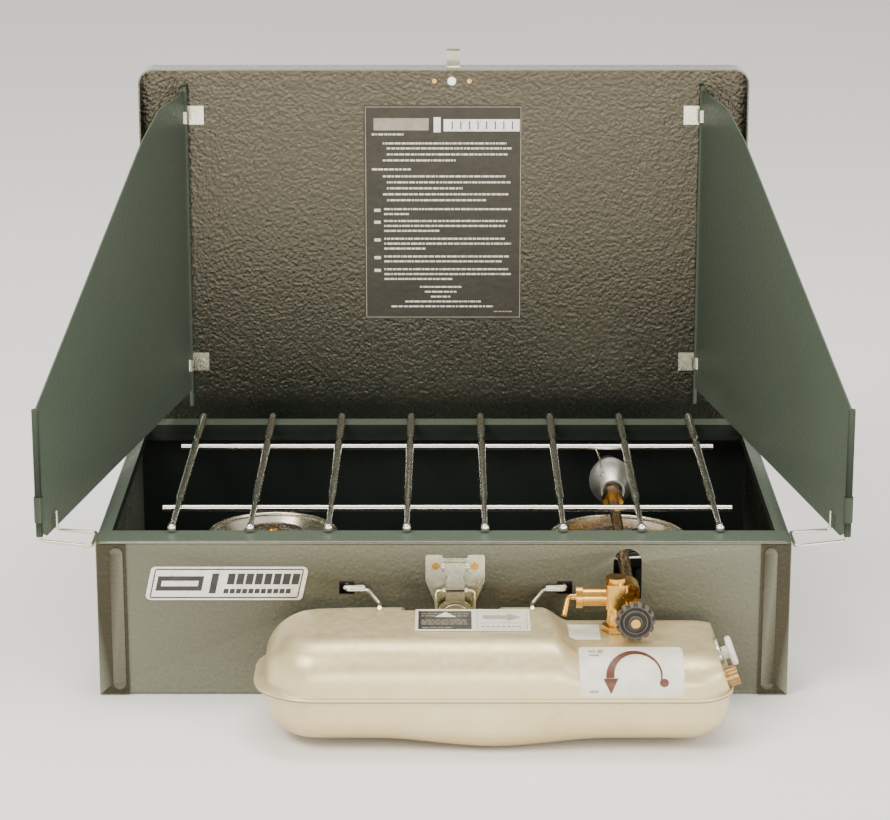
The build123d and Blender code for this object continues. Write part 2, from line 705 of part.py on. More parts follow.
with BuildPart() as tank_lower_shell:
    add(lower_solid.part)
    # shallow sump under the front edge, where the last of the fuel gathers
    with BuildSketch(Plane.XY.offset(1.6)) as sump:
        with Locations((28, -84)):
            Ellipse(34, 11)
    with BuildSketch(Plane.XY.offset(9)) as sump_top:
        with Locations((28, -80)):
            Ellipse(92, 22)
    loft()
    add(lower_hollow.part, mode=Mode.SUBTRACT)
    add(lower_lip.part)
pieces["tank_lower_shell"] = tank_lower_shell

# Two wire hangers soldered to the tank; their tips hook into the case.
with BuildPart() as tank_hangers:
    for hx, s in ((-63.0, -1), (79.0, 1)):
        with BuildLine() as route:
            FilletPolyline(
                (hx, 5.5, 74), (hx, -4.6, 74), (hx - s * 14, -4.6, 74),
                (hx - s * 22, -17, 68.5), (hx - s * 22, -34, 72.2),
                radius=2.4)
        with BuildSketch(Plane(origin=route.line @ 0, z_dir=route.line % 0)):
            Circle(1.3)
        sweep()
pieces["tank_hangers"] = tank_hangers

# Brass valve body standing on the tank.
with BuildPart() as valve_body:
    with Locations((110, -46, 54)):
        Cylinder(6.3, 12, align=(Align.CENTER, Align.CENTER, Align.MIN))
    with BuildSketch(Plane.XY.offset(TANK_SHELF + 0.05)):
        with Locations((110, -46)):
            RegularPolygon(9.5, 6)
    extrude(amount=4)
    with Locations((110, -46, 65)):
        Cylinder(6.3, 16, align=(Align.CENTER, Align.CENTER, Align.MIN))
    block(103, 117, -54, -39, 78, 94)
    fillet(valve_body.edges().filter_by(Axis.Z).group_by(Axis.Z)[-1], 2.5)
    with Locations((109.6, -46, 94)):
        Cylinder(6.4, 3.4, align=(Align.CENTER, Align.CENTER, Align.MIN))
    # arm that carries the generator
    with Locations(Plane.XZ.offset(38.5)):
        with Locations((GEN_X, GEN_Z)):
            Cylinder(6.6, 15)
            Cylinder(3.96, 40, mode=Mode.SUBTRACT)
    block(112, 121, -50, -40, 74, 88)
    # boss for the regulating stem
    with Locations(Plane.XZ.offset(54)):
        with Locations((KNOB_AT[0], KNOB_AT[1])):
            Cylinder(5.6, 15)
    # barrel of the lighting valve
    with Locations(Plane.YZ.offset(96)):
        with Locations((-47.5, 84.5)):
            Cylinder(5.8, 15)
    with Locations(Plane.XZ.offset(54)):
        with Locations((KNOB_AT[0], KNOB_AT[1])):
            Cylinder(2.56, 16, mode=Mode.SUBTRACT)
    with Locations(Plane.YZ.offset(90)):
        with Locations((-47.5, 84.5)):
            Cylinder(2.56, 14, mode=Mode.SUBTRACT)
pieces["valve_body"] = valve_body

# Generator: the straight tube over the main burner, and its jet nut.
with BuildPart() as generator_tube:
    with Locations(Plane.XZ.offset(-56)):
        with Locations((GEN_X, GEN_Z)):
            Cylinder(3.9, 188)
pieces["generator_tube"] = generator_tube

with BuildPart() as generator_nut:
    with BuildSketch(Plane.XZ.offset(-147)):
        with Locations((GEN_X, GEN_Z)):
            RegularPolygon(7.4, 6)
    extrude(amount=-12)
    with Locations(Plane.XZ.offset(-164)):
        with Locations((GEN_X, GEN_Z)):
            Cylinder(5.0, 10)
    with Locations(Plane.XZ.offset(-175)):
        with Locations((GEN_X, GEN_Z)):
            Cylinder(2.4, 14)
    with Locations(Plane.XZ.offset(-148)):
        with Locations((GEN_X, GEN_Z)):
            Cylinder(3.92, 4.2, mode=Mode.SUBTRACT)
pieces["generator_nut"] = generator_nut

with BuildPart() as pickup_tube:
    with Locations((110, -46, 9)):
        Cylinder(2.4, 44.9, align=(Align.CENTER, Align.CENTER, Align.MIN))
pieces["pickup_tube"] = pickup_tube

# Lighting lever, a bent brass arm turning on the barrel's axis.
with BuildPart() as lighting_lever:
    with Locations(Plane.YZ.offset(86.2)):
        with Locations((-47.5, 84.5)):
            Cylinder(7.2, 4)
    with Locations(Plane.YZ.offset(90)):
        with Locations((-47.5, 84.5)):
            Cylinder(2.5, 12)
    with BuildLine() as arm:
        FilletPolyline((85, -47.5, 84.5), (79.5, -47.5, 84.5),
                       (76.4, -55, 74.6), radius=3)
    with BuildSketch(Plane(origin=arm.line @ 0, z_dir=arm.line % 0)):
        Circle(1.9)
    sweep()
pieces["lighting_lever"] = lighting_lever

# Regulating knob with twelve lugs, its stem and screw.
with BuildPart() as control_knob:
    with BuildSketch(Plane.XZ.offset(63.5)):
        with Locations((KNOB_AT[0], KNOB_AT[1])):
            Circle(11.3)
            with PolarLocations(10.6, 12):
                Circle(2.0)
            Circle(2.5, mode=Mode.SUBTRACT)
    extrude(amount=8.5)
    with BuildSketch(Plane.XZ.offset(72.0)):
        with Locations((KNOB_AT[0], KNOB_AT[1])):
            Circle(9.4)
            Circle(6.0, mode=Mode.SUBTRACT)
    extrude(amount=-1.4, mode=Mode.SUBTRACT)
pieces["control_knob"] = control_knob

with BuildPart() as control_stem:
    with Locations(Plane.XZ.offset(60.5)):
        with Locations((KNOB_AT[0], KNOB_AT[1])):
            Cylinder(2.48, 23)
    with Locations(Plane.XZ.offset(72.9)):
        with Locations((KNOB_AT[0], KNOB_AT[1])):
            Cylinder(2.95, 1.9)
pieces["control_stem"] = control_stem

# Pump: barrel in the tank, cap on it, and the moving plunger.
with BuildPart() as pump_barrel:
    with BuildSketch(pump_plane.offset(-86)):
        Circle(9.0)
    extrude(amount=84)
    with BuildSketch(pump_plane.offset(-84.8)):
        Circle(8.0)
    extrude(amount=90, mode=Mode.SUBTRACT)
pieces["pump_barrel"] = pump_barrel

with BuildPart() as pump_cap:
    with BuildSketch(pump_plane.offset(-2)):
        Circle(7.95)
    extrude(amount=2.2)
    with BuildSketch(pump_plane.offset(0.05)):
        Circle(11.5)
    extrude(amount=1.4)
    with BuildSketch(pump_plane.offset(-6)):
        Circle(2.06)
    extrude(amount=12, mode=Mode.SUBTRACT)
pieces["pump_cap"] = pump_cap

with BuildPart() as pump_cup:
    with BuildSketch(pump_plane.offset(-62)):
        Circle(7.9)
        Circle(2.06, mode=Mode.SUBTRACT)
    extrude(amount=7)
    with BuildSketch(pump_plane.offset(-62.1)):
        Circle(6.6)
    extrude(amount=4, mode=Mode.SUBTRACT)
    with BuildSketch(pump_plane.offset(-55)):
        Circle(3.2)
        Circle(2.06, mode=Mode.SUBTRACT)
    extrude(amount=4)
pieces["pump_cup"] = pump_cup

with BuildPart() as pump_rod:
    with BuildSketch(pump_plane.offset(-64)):
        Circle(2.0)
    extrude(amount=70)
pieces["pump_rod"] = pump_rod

with BuildPart() as pump_knob:
    with BuildSketch(pump_plane.offset(2.2)):
        Circle(4.2)
        Circle(2.0, mode=Mode.SUBTRACT)
    extrude(amount=3.8)
    with BuildSketch(pump_plane.offset(6.0)):
        Circle(9.6)
    extrude(amount=4.0)
    fillet(pump_knob.edges().filter_by(GeomType.CIRCLE).filter_by(
        lambda e: e.radius > 9), 1.5)
pieces["pump_knob"] = pump_knob

# Filler: neck, gasket and screw cap.
with BuildPart() as filler_neck:
    with BuildSketch(filler_plane.offset(-5)):
        Circle(4.5)
        Circle(3.2, mode=Mode.SUBTRACT)
    extrude(amount=8)
pieces["filler_neck"] = filler_neck

with BuildPart() as filler_cap:
    with BuildSketch(filler_plane.offset(0.6)):
        Circle(6.4)
        with PolarLocations(6.4, 16):
            Circle(0.55, mode=Mode.SUBTRACT)
    extrude(amount=7.4)
    with BuildSketch(filler_plane.offset(0.5)):
        Circle(4.56)
    extrude(amount=4.6, mode=Mode.SUBTRACT)
pieces["filler_cap"] = filler_cap

with BuildPart() as filler_gasket:
    with BuildSketch(filler_plane.offset(3.5)):
        Circle(4.5)
    extrude(amount=1.5)
pieces["filler_gasket"] = filler_gasket

# Plain labels stuck on the tank.
with BuildPart() as tank_top_label:
    with BuildSketch(Plane.XY.offset(TANK_TOP)):
        with Locations((18.5, -54)):
            RectangleRounded(73, 40, 1.2)
    extrude(amount=0.3)
pieces["tank_top_label"] = tank_top_label

with BuildPart() as tank_front_label:
    with BuildSketch(Plane.XZ.offset(-TANK_Y0)):
        with Locations((116.5, 44.5)):
            RectangleRounded(65, 12, 1.2)
    extrude(amount=0.3)
pieces["tank_front_label"] = tank_front_label

# ---- move to the middle of the base, name and write ---------------------
for label, piece in pieces.items():
    piece.part.move(Location((0, -CASE_D / 2, 0)))
    piece.part.label = label
    export_step(piece.part, f"parts/{label}.step")
print(len(pieces), "nodes")
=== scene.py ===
import math
import random

import bpy
import bmesh
from mathutils import Vector, Matrix, noise


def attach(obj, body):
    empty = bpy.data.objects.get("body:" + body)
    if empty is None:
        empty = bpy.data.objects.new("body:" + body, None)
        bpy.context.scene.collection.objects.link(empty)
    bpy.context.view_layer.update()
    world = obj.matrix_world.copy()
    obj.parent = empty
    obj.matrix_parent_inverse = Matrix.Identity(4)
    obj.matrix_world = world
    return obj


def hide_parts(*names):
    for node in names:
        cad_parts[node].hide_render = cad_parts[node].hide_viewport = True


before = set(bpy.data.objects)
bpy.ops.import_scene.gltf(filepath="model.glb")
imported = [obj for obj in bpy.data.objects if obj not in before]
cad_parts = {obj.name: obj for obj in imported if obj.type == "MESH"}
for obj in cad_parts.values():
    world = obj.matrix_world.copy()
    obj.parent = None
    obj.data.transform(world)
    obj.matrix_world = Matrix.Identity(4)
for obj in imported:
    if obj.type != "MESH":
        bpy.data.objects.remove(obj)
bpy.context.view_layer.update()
D = bpy.data
OFF = -0.145                      # the front face of the case is at y = OFF


def V(x, y, z):
    """Millimetres, y counted from the front face, to metres in the frame."""
    return Vector((x / 1000.0, y / 1000.0 + OFF, z / 1000.0))


# ------------------------------------------------------------------
# camera, light, floor
# ------------------------------------------------------------------
scene = bpy.context.scene
cam_data = D.cameras.new("view")
cam = D.objects.new("view", cam_data)
scene.collection.objects.link(cam)
cam_data.sensor_fit = "HORIZONTAL"
cam_data.sensor_width = 36.0
cam_data.lens = 2937.6 / 890.0 * 36.0
cam_data.clip_end = 50
cam.location = V(0.96, -1811.3, 707.7)
cam.rotation_euler = (math.radians(90 - 15.822), 0, 0)
scene.camera = cam

world = D.worlds.new("studio")
scene.world = world
world.use_nodes = True
wn = world.node_tree.nodes
bg = wn["Background"]
bg.inputs["Strength"].default_value = 2.1
wtc = wn.new("ShaderNodeTexCoord")
wsep = wn.new("ShaderNodeSeparateXYZ")
wramp = wn.new("ShaderNodeValToRGB")
world.node_tree.links.new(wtc.outputs["Generated"], wsep.inputs[0])
wmap = wn.new("ShaderNodeMapRange")
wmap.inputs["From Min"].default_value = -1
wmap.inputs["From Max"].default_value = 1
world.node_tree.links.new(wsep.outputs["Z"], wmap.inputs["Value"])
world.node_tree.links.new(wmap.outputs[0], wramp.inputs[0])
wramp.color_ramp.elements[0].position = 0.0
wramp.color_ramp.elements[0].color = (0.95, 0.95, 0.95, 1)
wramp.color_ramp.elements[1].position = 1.0
wramp.color_ramp.elements[1].color = (0.5, 0.49, 0.46, 1)
for p_, c_ in ((0.50, 0.98), (0.60, 0.62), (0.78, 0.34)):
    e_ = wramp.color_ramp.elements.new(p_)
    e_.color = (c_, c_ * 0.97, c_ * 0.92, 1)
world.node_tree.links.new(wramp.outputs[0], bg.inputs["Color"])


def area(name, loc, aim, size, size_y, power, color=(1, 1, 1)):
    d = D.lights.new(name, "AREA")
    d.shape = "RECTANGLE"
    d.size, d.size_y, d.energy, d.color = size, size_y, power, color
    o = D.objects.new(name, d)
    scene.collection.objects.link(o)
    o.location = loc
    o.rotation_euler = (Vector(aim) - Vector(loc)).to_track_quat("-Z", "Y").to_euler()
    return o


area("key", (-1.1, -1.3, 1.9), (0, 0.0, 0.1), 1.1, 0.9, 46, (1, 0.95, 0.86))
area("top", (0.1, 0.2, 2.1), (0, 0.0, 0.1), 1.6, 0.8, 30, (1, 0.96, 0.9))
area("fill", (1.5, -1.4, 0.9), (0, 0.0, 0.1), 1.0, 1.0, 18, (1, 0.98, 0.95))
area("front", (0.0, -2.2, 0.25), (0, 0, 0.06), 1.6, 0.35, 14, (1, 0.95, 0.86))

floor_me = D.meshes.new("floor")
bm = bmesh.new()
bmesh.ops.create_grid(bm, x_segments=8, y_segments=8, size=6)
bm.to_mesh(floor_me)
bm.free()
floor = D.objects.new("floor", floor_me)
scene.collection.objects.link(floor)
floor.location.z = -0.0006


# ------------------------------------------------------------------
# materials
# ------------------------------------------------------------------
def srgb(r, g, b):
    f = lambda c: (c / 255 / 12.92) if c <= 10 else ((c / 255 + 0.055) / 1.055) ** 2.4
    return (f(r), f(g), f(b), 1)


class Mat:
    """A node material with a few helpers."""

    def __init__(self, name, **consts):
        self.m = D.materials.new(name)
        self.m.use_nodes = True
        self.nt = self.m.node_tree
        self.n, self.l = self.nt.nodes, self.nt.links
        self.b = self.n["Principled BSDF"]
        for k, v in consts.items():
            self.b.inputs[k.replace("_", " ")].default_value = v
        self.tc = self.n.new("ShaderNodeTexCoord")

    def noise(self, scale, detail=4, rough=0.5, dist=0.0, stretch=None, kind="FBM"):
        t = self.n.new("ShaderNodeTexNoise")
        t.inputs["Scale"].default_value = scale
        t.inputs["Detail"].default_value = detail
        t.inputs["Roughness"].default_value = rough
        t.inputs["Distortion"].default_value = dist
        self.l.new(self.coord(stretch), t.inputs["Vector"])
        return t.outputs["Fac"]

    def voronoi(self, scale, feature="F1", stretch=None, out="Distance"):
        t = self.n.new("ShaderNodeTexVoronoi")
        t.feature = feature
        t.inputs["Scale"].default_value = scale
        self.l.new(self.coord(stretch), t.inputs["Vector"])
        return t.outputs[out]

    def coord(self, stretch=None):
        if not stretch:
            return self.tc.outputs["Object"]
        mp = self.n.new("ShaderNodeMapping")
        mp.inputs["Scale"].default_value = stretch
        self.l.new(self.tc.outputs["Object"], mp.inputs["Vector"])
        return mp.outputs[0]

    def ramp(self, fac, stops):
        r = self.n.new("ShaderNodeValToRGB")
        el = r.color_ramp.elements
        el[0].position, el[0].color = stops[0][0], stops[0][1]
        el[1].position, el[1].color = stops[-1][0], stops[-1][1]
        for p, c in stops[1:-1]:
            e = el.new(p)
            e.color = c
        self.l.new(fac, r.inputs[0])
        return r.outputs[0]

    def mapr(self, fac, lo, hi, a=0.0, b=1.0):
        r = self.n.new("ShaderNodeMapRange")
        r.inputs["From Min"].default_value = a
        r.inputs["From Max"].default_value = b
        r.inputs["To Min"].default_value = lo
        r.inputs["To Max"].default_value = hi
        self.l.new(fac, r.inputs["Value"])
        return r.outputs[0]

    def math(self, op, a, b=None):
        r = self.n.new("ShaderNodeMath")
        r.operation = op
        for i, v in enumerate((a, b)):
            if v is None:
                continue
            if isinstance(v, (int, float)):
                r.inputs[i].default_value = v
            else:
                self.l.new(v, r.inputs[i])
        return r.outputs[0]

    def mix(self, fac, a, b, mode="MIX"):
        r = self.n.new("ShaderNodeMix")
        r.data_type = "RGBA"
        r.blend_type = mode
        for sock, v in ((r.inputs[0], fac), (r.inputs[6], a), (r.inputs[7], b)):
            if isinstance(v, (int, float)):
                sock.default_value = v
            elif isinstance(v, tuple):
                sock.default_value = v
            else:
                self.l.new(v, sock)
        return r.outputs[2]

    def bump(self, height, strength=0.3, dist=0.001, normal=None):
        r = self.n.new("ShaderNodeBump")
        r.inputs["Strength"].default_value = strength
        r.inputs["Distance"].default_value = dist
        self.l.new(height, r.inputs["Height"])
        if normal is not None:
            self.l.new(normal, r.inputs["Normal"])
        return r.outputs[0]

    def edge(self, lo=0.505, hi=0.56):
        """1 on convex edges, 0 elsewhere."""
        g = self.n.new("ShaderNodeNewGeometry")
        return self.mapr(g.outputs["Pointiness"], 0.0, 1.0, lo, hi)

    def axis(self, which):
        s = self.n.new("ShaderNodeSeparateXYZ")
        self.l.new(self.tc.outputs["Object"], s.inputs[0])
        return s.outputs[which]

    def out(self, **socks):
        for k, v in socks.items():
            self.l.new(v, self.b.inputs[k.replace("_", " ")])
        return self.m


def enamel(name, base, light, dark, bump=0.6, rough=0.36, scale=1.0, edge=(150, 156, 138), ior=2.15,
           tint=(1.0, 0.88, 0.64, 1)):
    """Hammered stove enamel: dark green ground, cratered skin with a warm metallic sheen."""
    m = Mat(name, IOR=ior, Specular_IOR_Level=0.5)
    m.b.inputs["Specular Tint"].default_value = tint
    cell = m.voronoi(300 * scale, "SMOOTH_F1")
    peel = m.noise(260 * scale, 3, 0.55, 0.6)
    wide = m.noise(3.2, 3, 0.5)
    fleck = m.noise(700 * scale, 2, 0.6)
    tone = m.ramp(m.noise(7.0, 4, 0.6), [(0.3, dark), (0.55, base), (0.75, light)])
    tone = m.mix(m.mapr(fleck, 0.0, 0.40, 0.50, 0.75), tone, light)
    tone = m.mix(m.mapr(cell, 0.30, 0.0, 0.05, 0.5), tone, dark)
    tone = m.mix(m.math("MULTIPLY", m.edge(0.52, 0.60), 0.45), tone, srgb(*edge))
    h = m.math("ADD", m.math("MULTIPLY", cell, 0.7), m.math("MULTIPLY", peel, 0.9))
    r = m.mapr(m.math("ADD", m.math("MULTIPLY", peel, 0.5), m.math("MULTIPLY", wide, 0.5)),
               rough - 0.06, rough + 0.10, 0.3, 0.7)
    return m.out(Base_Color=tone, Roughness=r, Normal=m.bump(h, bump, 0.0011))


def metal(name, base, dark, rough=0.25, scratch=0.15, stain=0.4, aniso=None, spots=None):
    """Plated or machined metal with fine grain and stains."""
    m = Mat(name, Metallic=1.0)
    s = aniso or (1, 1, 1)
    grain = m.noise(900, 3, 0.6, 0, s)
    cloud = m.noise(38, 5, 0.6, 0.4)
    fine = m.noise(240, 4, 0.65)
    col = m.mix(m.mapr(cloud, 0.0, stain, 0.42, 0.72), base, dark)
    col = m.mix(m.mapr(fine, 0.0, 0.12, 0.5, 0.8), col, dark)
    if spots:
        col = m.mix(m.mapr(m.noise(60, 6, 0.75, 0.8), 0.0, 0.55, 0.60, 0.72), col, spots)
    r = m.mapr(m.math("ADD", m.math("MULTIPLY", cloud, 0.6), m.math("MULTIPLY", grain, 0.4)),
               max(0.05, rough - 0.1), rough + 0.16, 0.3, 0.7)
    return m.out(Base_Color=col, Roughness=r,
                 Normal=m.bump(m.math("ADD", grain, m.math("MULTIPLY", fine, 0.6)), scratch, 0.0002))


M = {}
M["enamel"] = enamel("hammered_enamel", srgb(32, 33, 26), srgb(44, 43, 33), srgb(24, 26, 21), scale=1.4, bump=0.3, rough=0.25, ior=1.53,
                     tint=(1.0, 0.85, 0.58, 1))
# front rim enamel: a lighter, glossier copy of the case enamel; its lighter colour is a painted highlight
M["enamel_rim"] = enamel("hammered_enamel_rim", srgb(40, 46, 38), srgb(56, 60, 50), srgb(28, 34, 29), scale=1.2, bump=0.2, rough=0.2, ior=1.9,
                         tint=(1.0, 0.94, 0.8, 1))
M["enamel_lid"] = enamel("hammered_enamel_lid", srgb(24, 32, 30), srgb(34, 40, 35), srgb(18, 25, 24), scale=1.35, bump=0.28, rough=0.22, ior=1.68)
M["enamel_green"] = enamel("hammered_enamel_green", srgb(27, 38, 33), srgb(36, 48, 41), srgb(20, 30, 26), scale=1.5, bump=0.3, rough=0.4, ior=1.25, edge=(110, 122, 106))
M["enamel_inner"] = enamel("hammered_enamel_inner", srgb(30, 36, 34), srgb(40, 46, 43), srgb(22, 27, 26), scale=1.5, bump=0.2, rough=0.4, ior=1.25, edge=(40, 46, 42))

m = Mat("studio_floor", Roughness=0.9)
M["floor"] = m.out(Base_Color=m.mix(m.mapr(m.noise(2, 2), 0, 1, 0.3, 0.7), (0.90, 0.895, 0.88, 1), (0.93, 0.925, 0.91, 1)))
floor.data.materials.append(M["floor"])

M["zinc"] = metal("zinc_plate", srgb(216, 215, 196), srgb(150, 150, 134), 0.26, 0.015, 0.5)
M["nickel"] = metal("bright_rod", srgb(246, 243, 234), srgb(170, 168, 158), 0.16, 0.01, 0.35)
M["bar"] = metal("grate_bar_steel", srgb(206, 210, 200), srgb(160, 164, 156), 0.2, 0.008, 0.5)
M["bowl"] = metal("bowl_steel", srgb(225, 218, 200), srgb(140, 116, 84), 0.2, 0.1, 0.45, spots=srgb(120, 92, 60))
M["brass"] = metal("brass", srgb(226, 178, 92), srgb(156, 98, 40), 0.18, 0.02, 0.6, spots=srgb(120, 74, 36))
M["brass_dark"] = metal("brass_heat_tinted", srgb(176, 140, 92), srgb(104, 82, 58), 0.26, 0.03, 0.7)
M["cast"] = metal("cast_grey", srgb(96, 96, 92), srgb(44, 44, 44), 0.5, 0.6, 0.7)
M["bell"] = metal("bell_grey", srgb(236, 236, 228), srgb(176, 178, 172), 0.42, 0.12, 0.5)

# champagne tank lacquer with fine metal flake and dirt; the dark seam band and the darker bottom are painted shade
m = Mat("tank_lacquer", Metallic=0.6, Coat_Weight=0.25, Coat_Roughness=0.2)
flake = m.noise(2200, 2, 0.7)
cloud = m.noise(14, 4, 0.6)
peel = m.noise(160, 2, 0.5, 0.4)
col = m.ramp(cloud, [(0.3, srgb(214, 196, 146)), (0.7, srgb(226, 210, 164))])
col = m.mix(m.mapr(flake, 0.0, 0.25, 0.5, 0.75), col, srgb(244, 238, 220))
col = m.mix(m.math("MULTIPLY", m.edge(0.53, 0.62), 0.4), col, srgb(246, 242, 228))
grime = m.mapr(m.noise(46, 6, 0.7, 0.6), 0.0, 0.25, 0.58, 0.75)
col = m.mix(grime, col, srgb(150, 128, 92))
zz = m.axis(2)
# painted shadow: a narrow dark band at the seam darkens the crevice between the two lips
off_seam = m.math("ABSOLUTE", m.math("SUBTRACT", zz, 0.0361))
col = m.mix(m.mapr(off_seam, 0.75, 0.0, 0.0002, 0.0007), col, srgb(112, 92, 60))
# painted shade: the tank is coloured darker towards its bottom, where it faces away from the light
low = m.mapr(zz, 0.55, 0.0, 0.004, 0.016)
col = m.mix(low, col, srgb(176, 150, 104))
M["tank"] = m.out(Base_Color=col, Roughness=m.mapr(peel, 0.30, 0.46, 0.3, 0.7),
                  Normal=m.bump(m.math("ADD", peel, m.math("MULTIPLY", flake, 0.25)), 0.12, 0.0006))

m = Mat("knob_phenolic", Specular_IOR_Level=0.4)
col = m.ramp(m.noise(120, 5, 0.65), [(0.3, srgb(36, 33, 30)), (0.7, srgb(60, 55, 49))])
col = m.mix(m.math("MULTIPLY", m.edge(0.52, 0.6), 0.7), col, srgb(132, 124, 110))
M["phenolic"] = m.out(Base_Color=col, Roughness=m.mapr(m.noise(300, 3), 0.42, 0.62, 0.3, 0.7),
                      Normal=m.bump(m.noise(500, 4), 0.15, 0.0003))

m = Mat("white_moulding", Specular_IOR_Level=0.5, Coat_Weight=0.2)
M["white"] = m.out(Base_Color=m.ramp(m.noise(60, 4, 0.6), [(0.3, srgb(206, 200, 184)), (0.7, srgb(236, 232, 220))]),
                   Roughness=m.mapr(m.noise(200, 3), 0.22, 0.38, 0.3, 0.7),
                   Normal=m.bump(m.noise(420, 3), 0.06, 0.0002))

m = Mat("label_film", Specular_IOR_Level=0.5)
M["film"] = m.out(Base_Color=m.ramp(m.noise(70, 4, 0.6), [(0.3, srgb(212, 208, 192)), (0.7, srgb(236, 232, 218))]),
                  Roughness=m.mapr(m.noise(260, 3), 0.28, 0.45, 0.3, 0.7),
                  Normal=m.bump(m.noise(600, 3), 0.05, 0.0002))
m = Mat("label_ink", Specular_IOR_Level=0.5)
M["ink"] = m.out(Base_Color=m.ramp(m.noise(180, 4, 0.6), [(0.3, srgb(30, 28, 26)), (0.7, srgb(52, 46, 42))]),
                 Roughness=m.mapr(m.noise(260, 3), 0.3, 0.5, 0.3, 0.7))
m = Mat("label_ink_brown", Specular_IOR_Level=0.5)
M["ink_brown"] = m.out(Base_Color=m.ramp(m.noise(180, 4, 0.6), [(0.3, srgb(84, 46, 32)), (0.7, srgb(104, 58, 40))]),
                       Roughness=m.mapr(m.noise(260, 3), 0.3, 0.5, 0.3, 0.7))
m = Mat("pump_leather", Specular_IOR_Level=0.4)
M["leather"] = m.out(Base_Color=m.ramp(m.noise(90, 5, 0.6), [(0.3, srgb(74, 46, 28)), (0.7, srgb(120, 78, 48))]),
                     Roughness=m.mapr(m.noise(200, 3), 0.5, 0.75, 0.3, 0.7),
                     Normal=m.bump(m.voronoi(900), 0.4, 0.0004))
m = Mat("gasket", Specular_IOR_Level=0.3)
M["rubber"] = m.out(Base_Color=m.ramp(m.noise(150, 4), [(0.3, srgb(24, 24, 24)), (0.7, srgb(40, 38, 36))]),
                    Roughness=m.mapr(m.noise(300, 3), 0.6, 0.8, 0.3, 0.7))

m = Mat("lid_decal_film", IOR=1.5, Specular_IOR_Level=0.5)
m.b.inputs["Specular Tint"].default_value = (1, 0.93, 0.78, 1)
M["decal"] = m.out(Base_Color=m.ramp(m.noise(60, 4, 0.6), [(0.3, srgb(34, 35, 31)), (0.7, srgb(46, 45, 39))]),
                   Roughness=m.mapr(m.noise(260, 3), 0.34, 0.46, 0.3, 0.7),
                   Normal=m.bump(m.noise(240, 3), 0.25, 0.0008))
m = Mat("label_silver", Metallic=0.5)
M["silver"] = m.out(Base_Color=m.ramp(m.noise(90, 4, 0.6), [(0.3, srgb(214, 212, 204)), (0.7, srgb(240, 238, 230))]),
                    Roughness=m.mapr(m.noise(260, 3), 0.26, 0.4, 0.3, 0.7))
m = Mat("label_grey", Specular_IOR_Level=0.5)
M["grey"] = m.out(Base_Color=m.ramp(m.noise(120, 4, 0.6), [(0.3, srgb(150, 140, 124)), (0.7, srgb(176, 166, 150))]),
                  Roughness=m.mapr(m.noise(260, 3), 0.35, 0.5, 0.3, 0.7))

NODE_MAT = {
    "case_wrap": "enamel", "end_panel_left": "enamel", "end_panel_right": "enamel",
    "case_hinges": "enamel_green", "lid_hinge_straps": "enamel_green",
    "lid_shell": "enamel_lid", "baffle_left": "enamel_green", "baffle_right": "enamel_green",
    "nameplate": "silver", "latch_base": "zinc", "latch_rivets": "brass", "latch_pin": "zinc",
    "latch_lever": "zinc", "latch_bail": "zinc", "hinge_pins": "zinc", "hinge_rivets": "zinc",
    "main_bowl": "bowl", "aux_bowl": "bowl", "burner_rings": "cast", "burner_caps": "bowl",
    "burner_screws": "brass", "burner_cups": "cast", "crossover_tube": "cast",
    "mixing_tube": "cast", "mixing_bell": "bell", "aux_valve_nut": "brass",
    "aux_valve_lever": "zinc", "lid_catch": "zinc", "lid_rivets": "brass", "lid_decal": "decal",
    "baffle_clips": "zinc", "clip_rivets": "zinc", "baffle_rod_left": "enamel_green",
    "baffle_rod_right": "enamel_green", "baffle_hem_left": "enamel_green", "baffle_hem_right": "enamel_green",
    "stay_left": "zinc", "stay_right": "zinc", "grate_bars": "bar", "grate_cross_rods": "nickel",
    "tank_upper_shell": "tank", "tank_lower_shell": "tank", "tank_hangers": "zinc",
    "valve_body": "brass", "generator_tube": "brass_dark", "generator_nut": "brass",
    "pickup_tube": "brass", "pump_barrel": "brass", "pump_cap": "zinc", "filler_neck": "brass",
    "tank_top_label": "film", "tank_front_label": "film", "lighting_lever": "brass",
    "control_knob": "phenolic", "control_stem": "brass", "pump_cup": "leather",
    "pump_rod": "zinc", "pump_knob": "white", "filler_cap": "brass_dark", "filler_gasket": "rubber",
}


def dress(name, obj):
    obj.data.materials.clear()
    obj.data.materials.append(M[NODE_MAT[name]])
    for p in obj.data.polygons:
        p.material_index = 0


for name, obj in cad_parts.items():
    dress(name, obj)



# ------------------------------------------------------------------
# mesh helpers
# ------------------------------------------------------------------
def new_obj(name, verts, faces, mats, body, replaces=(), smooth=True, fmat=None):
    me = D.meshes.new(name)
    me.from_pydata([tuple(v) for v in verts], [], faces)
    me.validate()
    me.update()
    for mt in (mats if isinstance(mats, (list, tuple)) else [mats]):
        me.materials.append(M[mt])
    if fmat:
        for i, k in enumerate(fmat):
            me.polygons[i].material_index = k
    for p in me.polygons:
        p.use_smooth = smooth
    o = D.objects.new(name, me)
    scene.collection.objects.link(o)
    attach(o, body)
    if replaces:
        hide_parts(*replaces)
    return o


def sstep(a, b, x):
    t = min(1.0, max(0.0, (x - a) / (b - a)))
    return t * t * (3 - 2 * t)


def fix_normals(o):
    b = bmesh.new()
    b.from_mesh(o.data)
    bmesh.ops.recalc_face_normals(b, faces=b.faces)
    b.to_mesh(o.data)
    b.free()


def bevel(o, width, seg=2, angle=35):
    md = o.modifiers.new("edge", "BEVEL")
    md.width = width
    md.segments = seg
    md.limit_method = "ANGLE"
    md.angle_limit = math.radians(angle)
    md.harden_normals = False
    return md


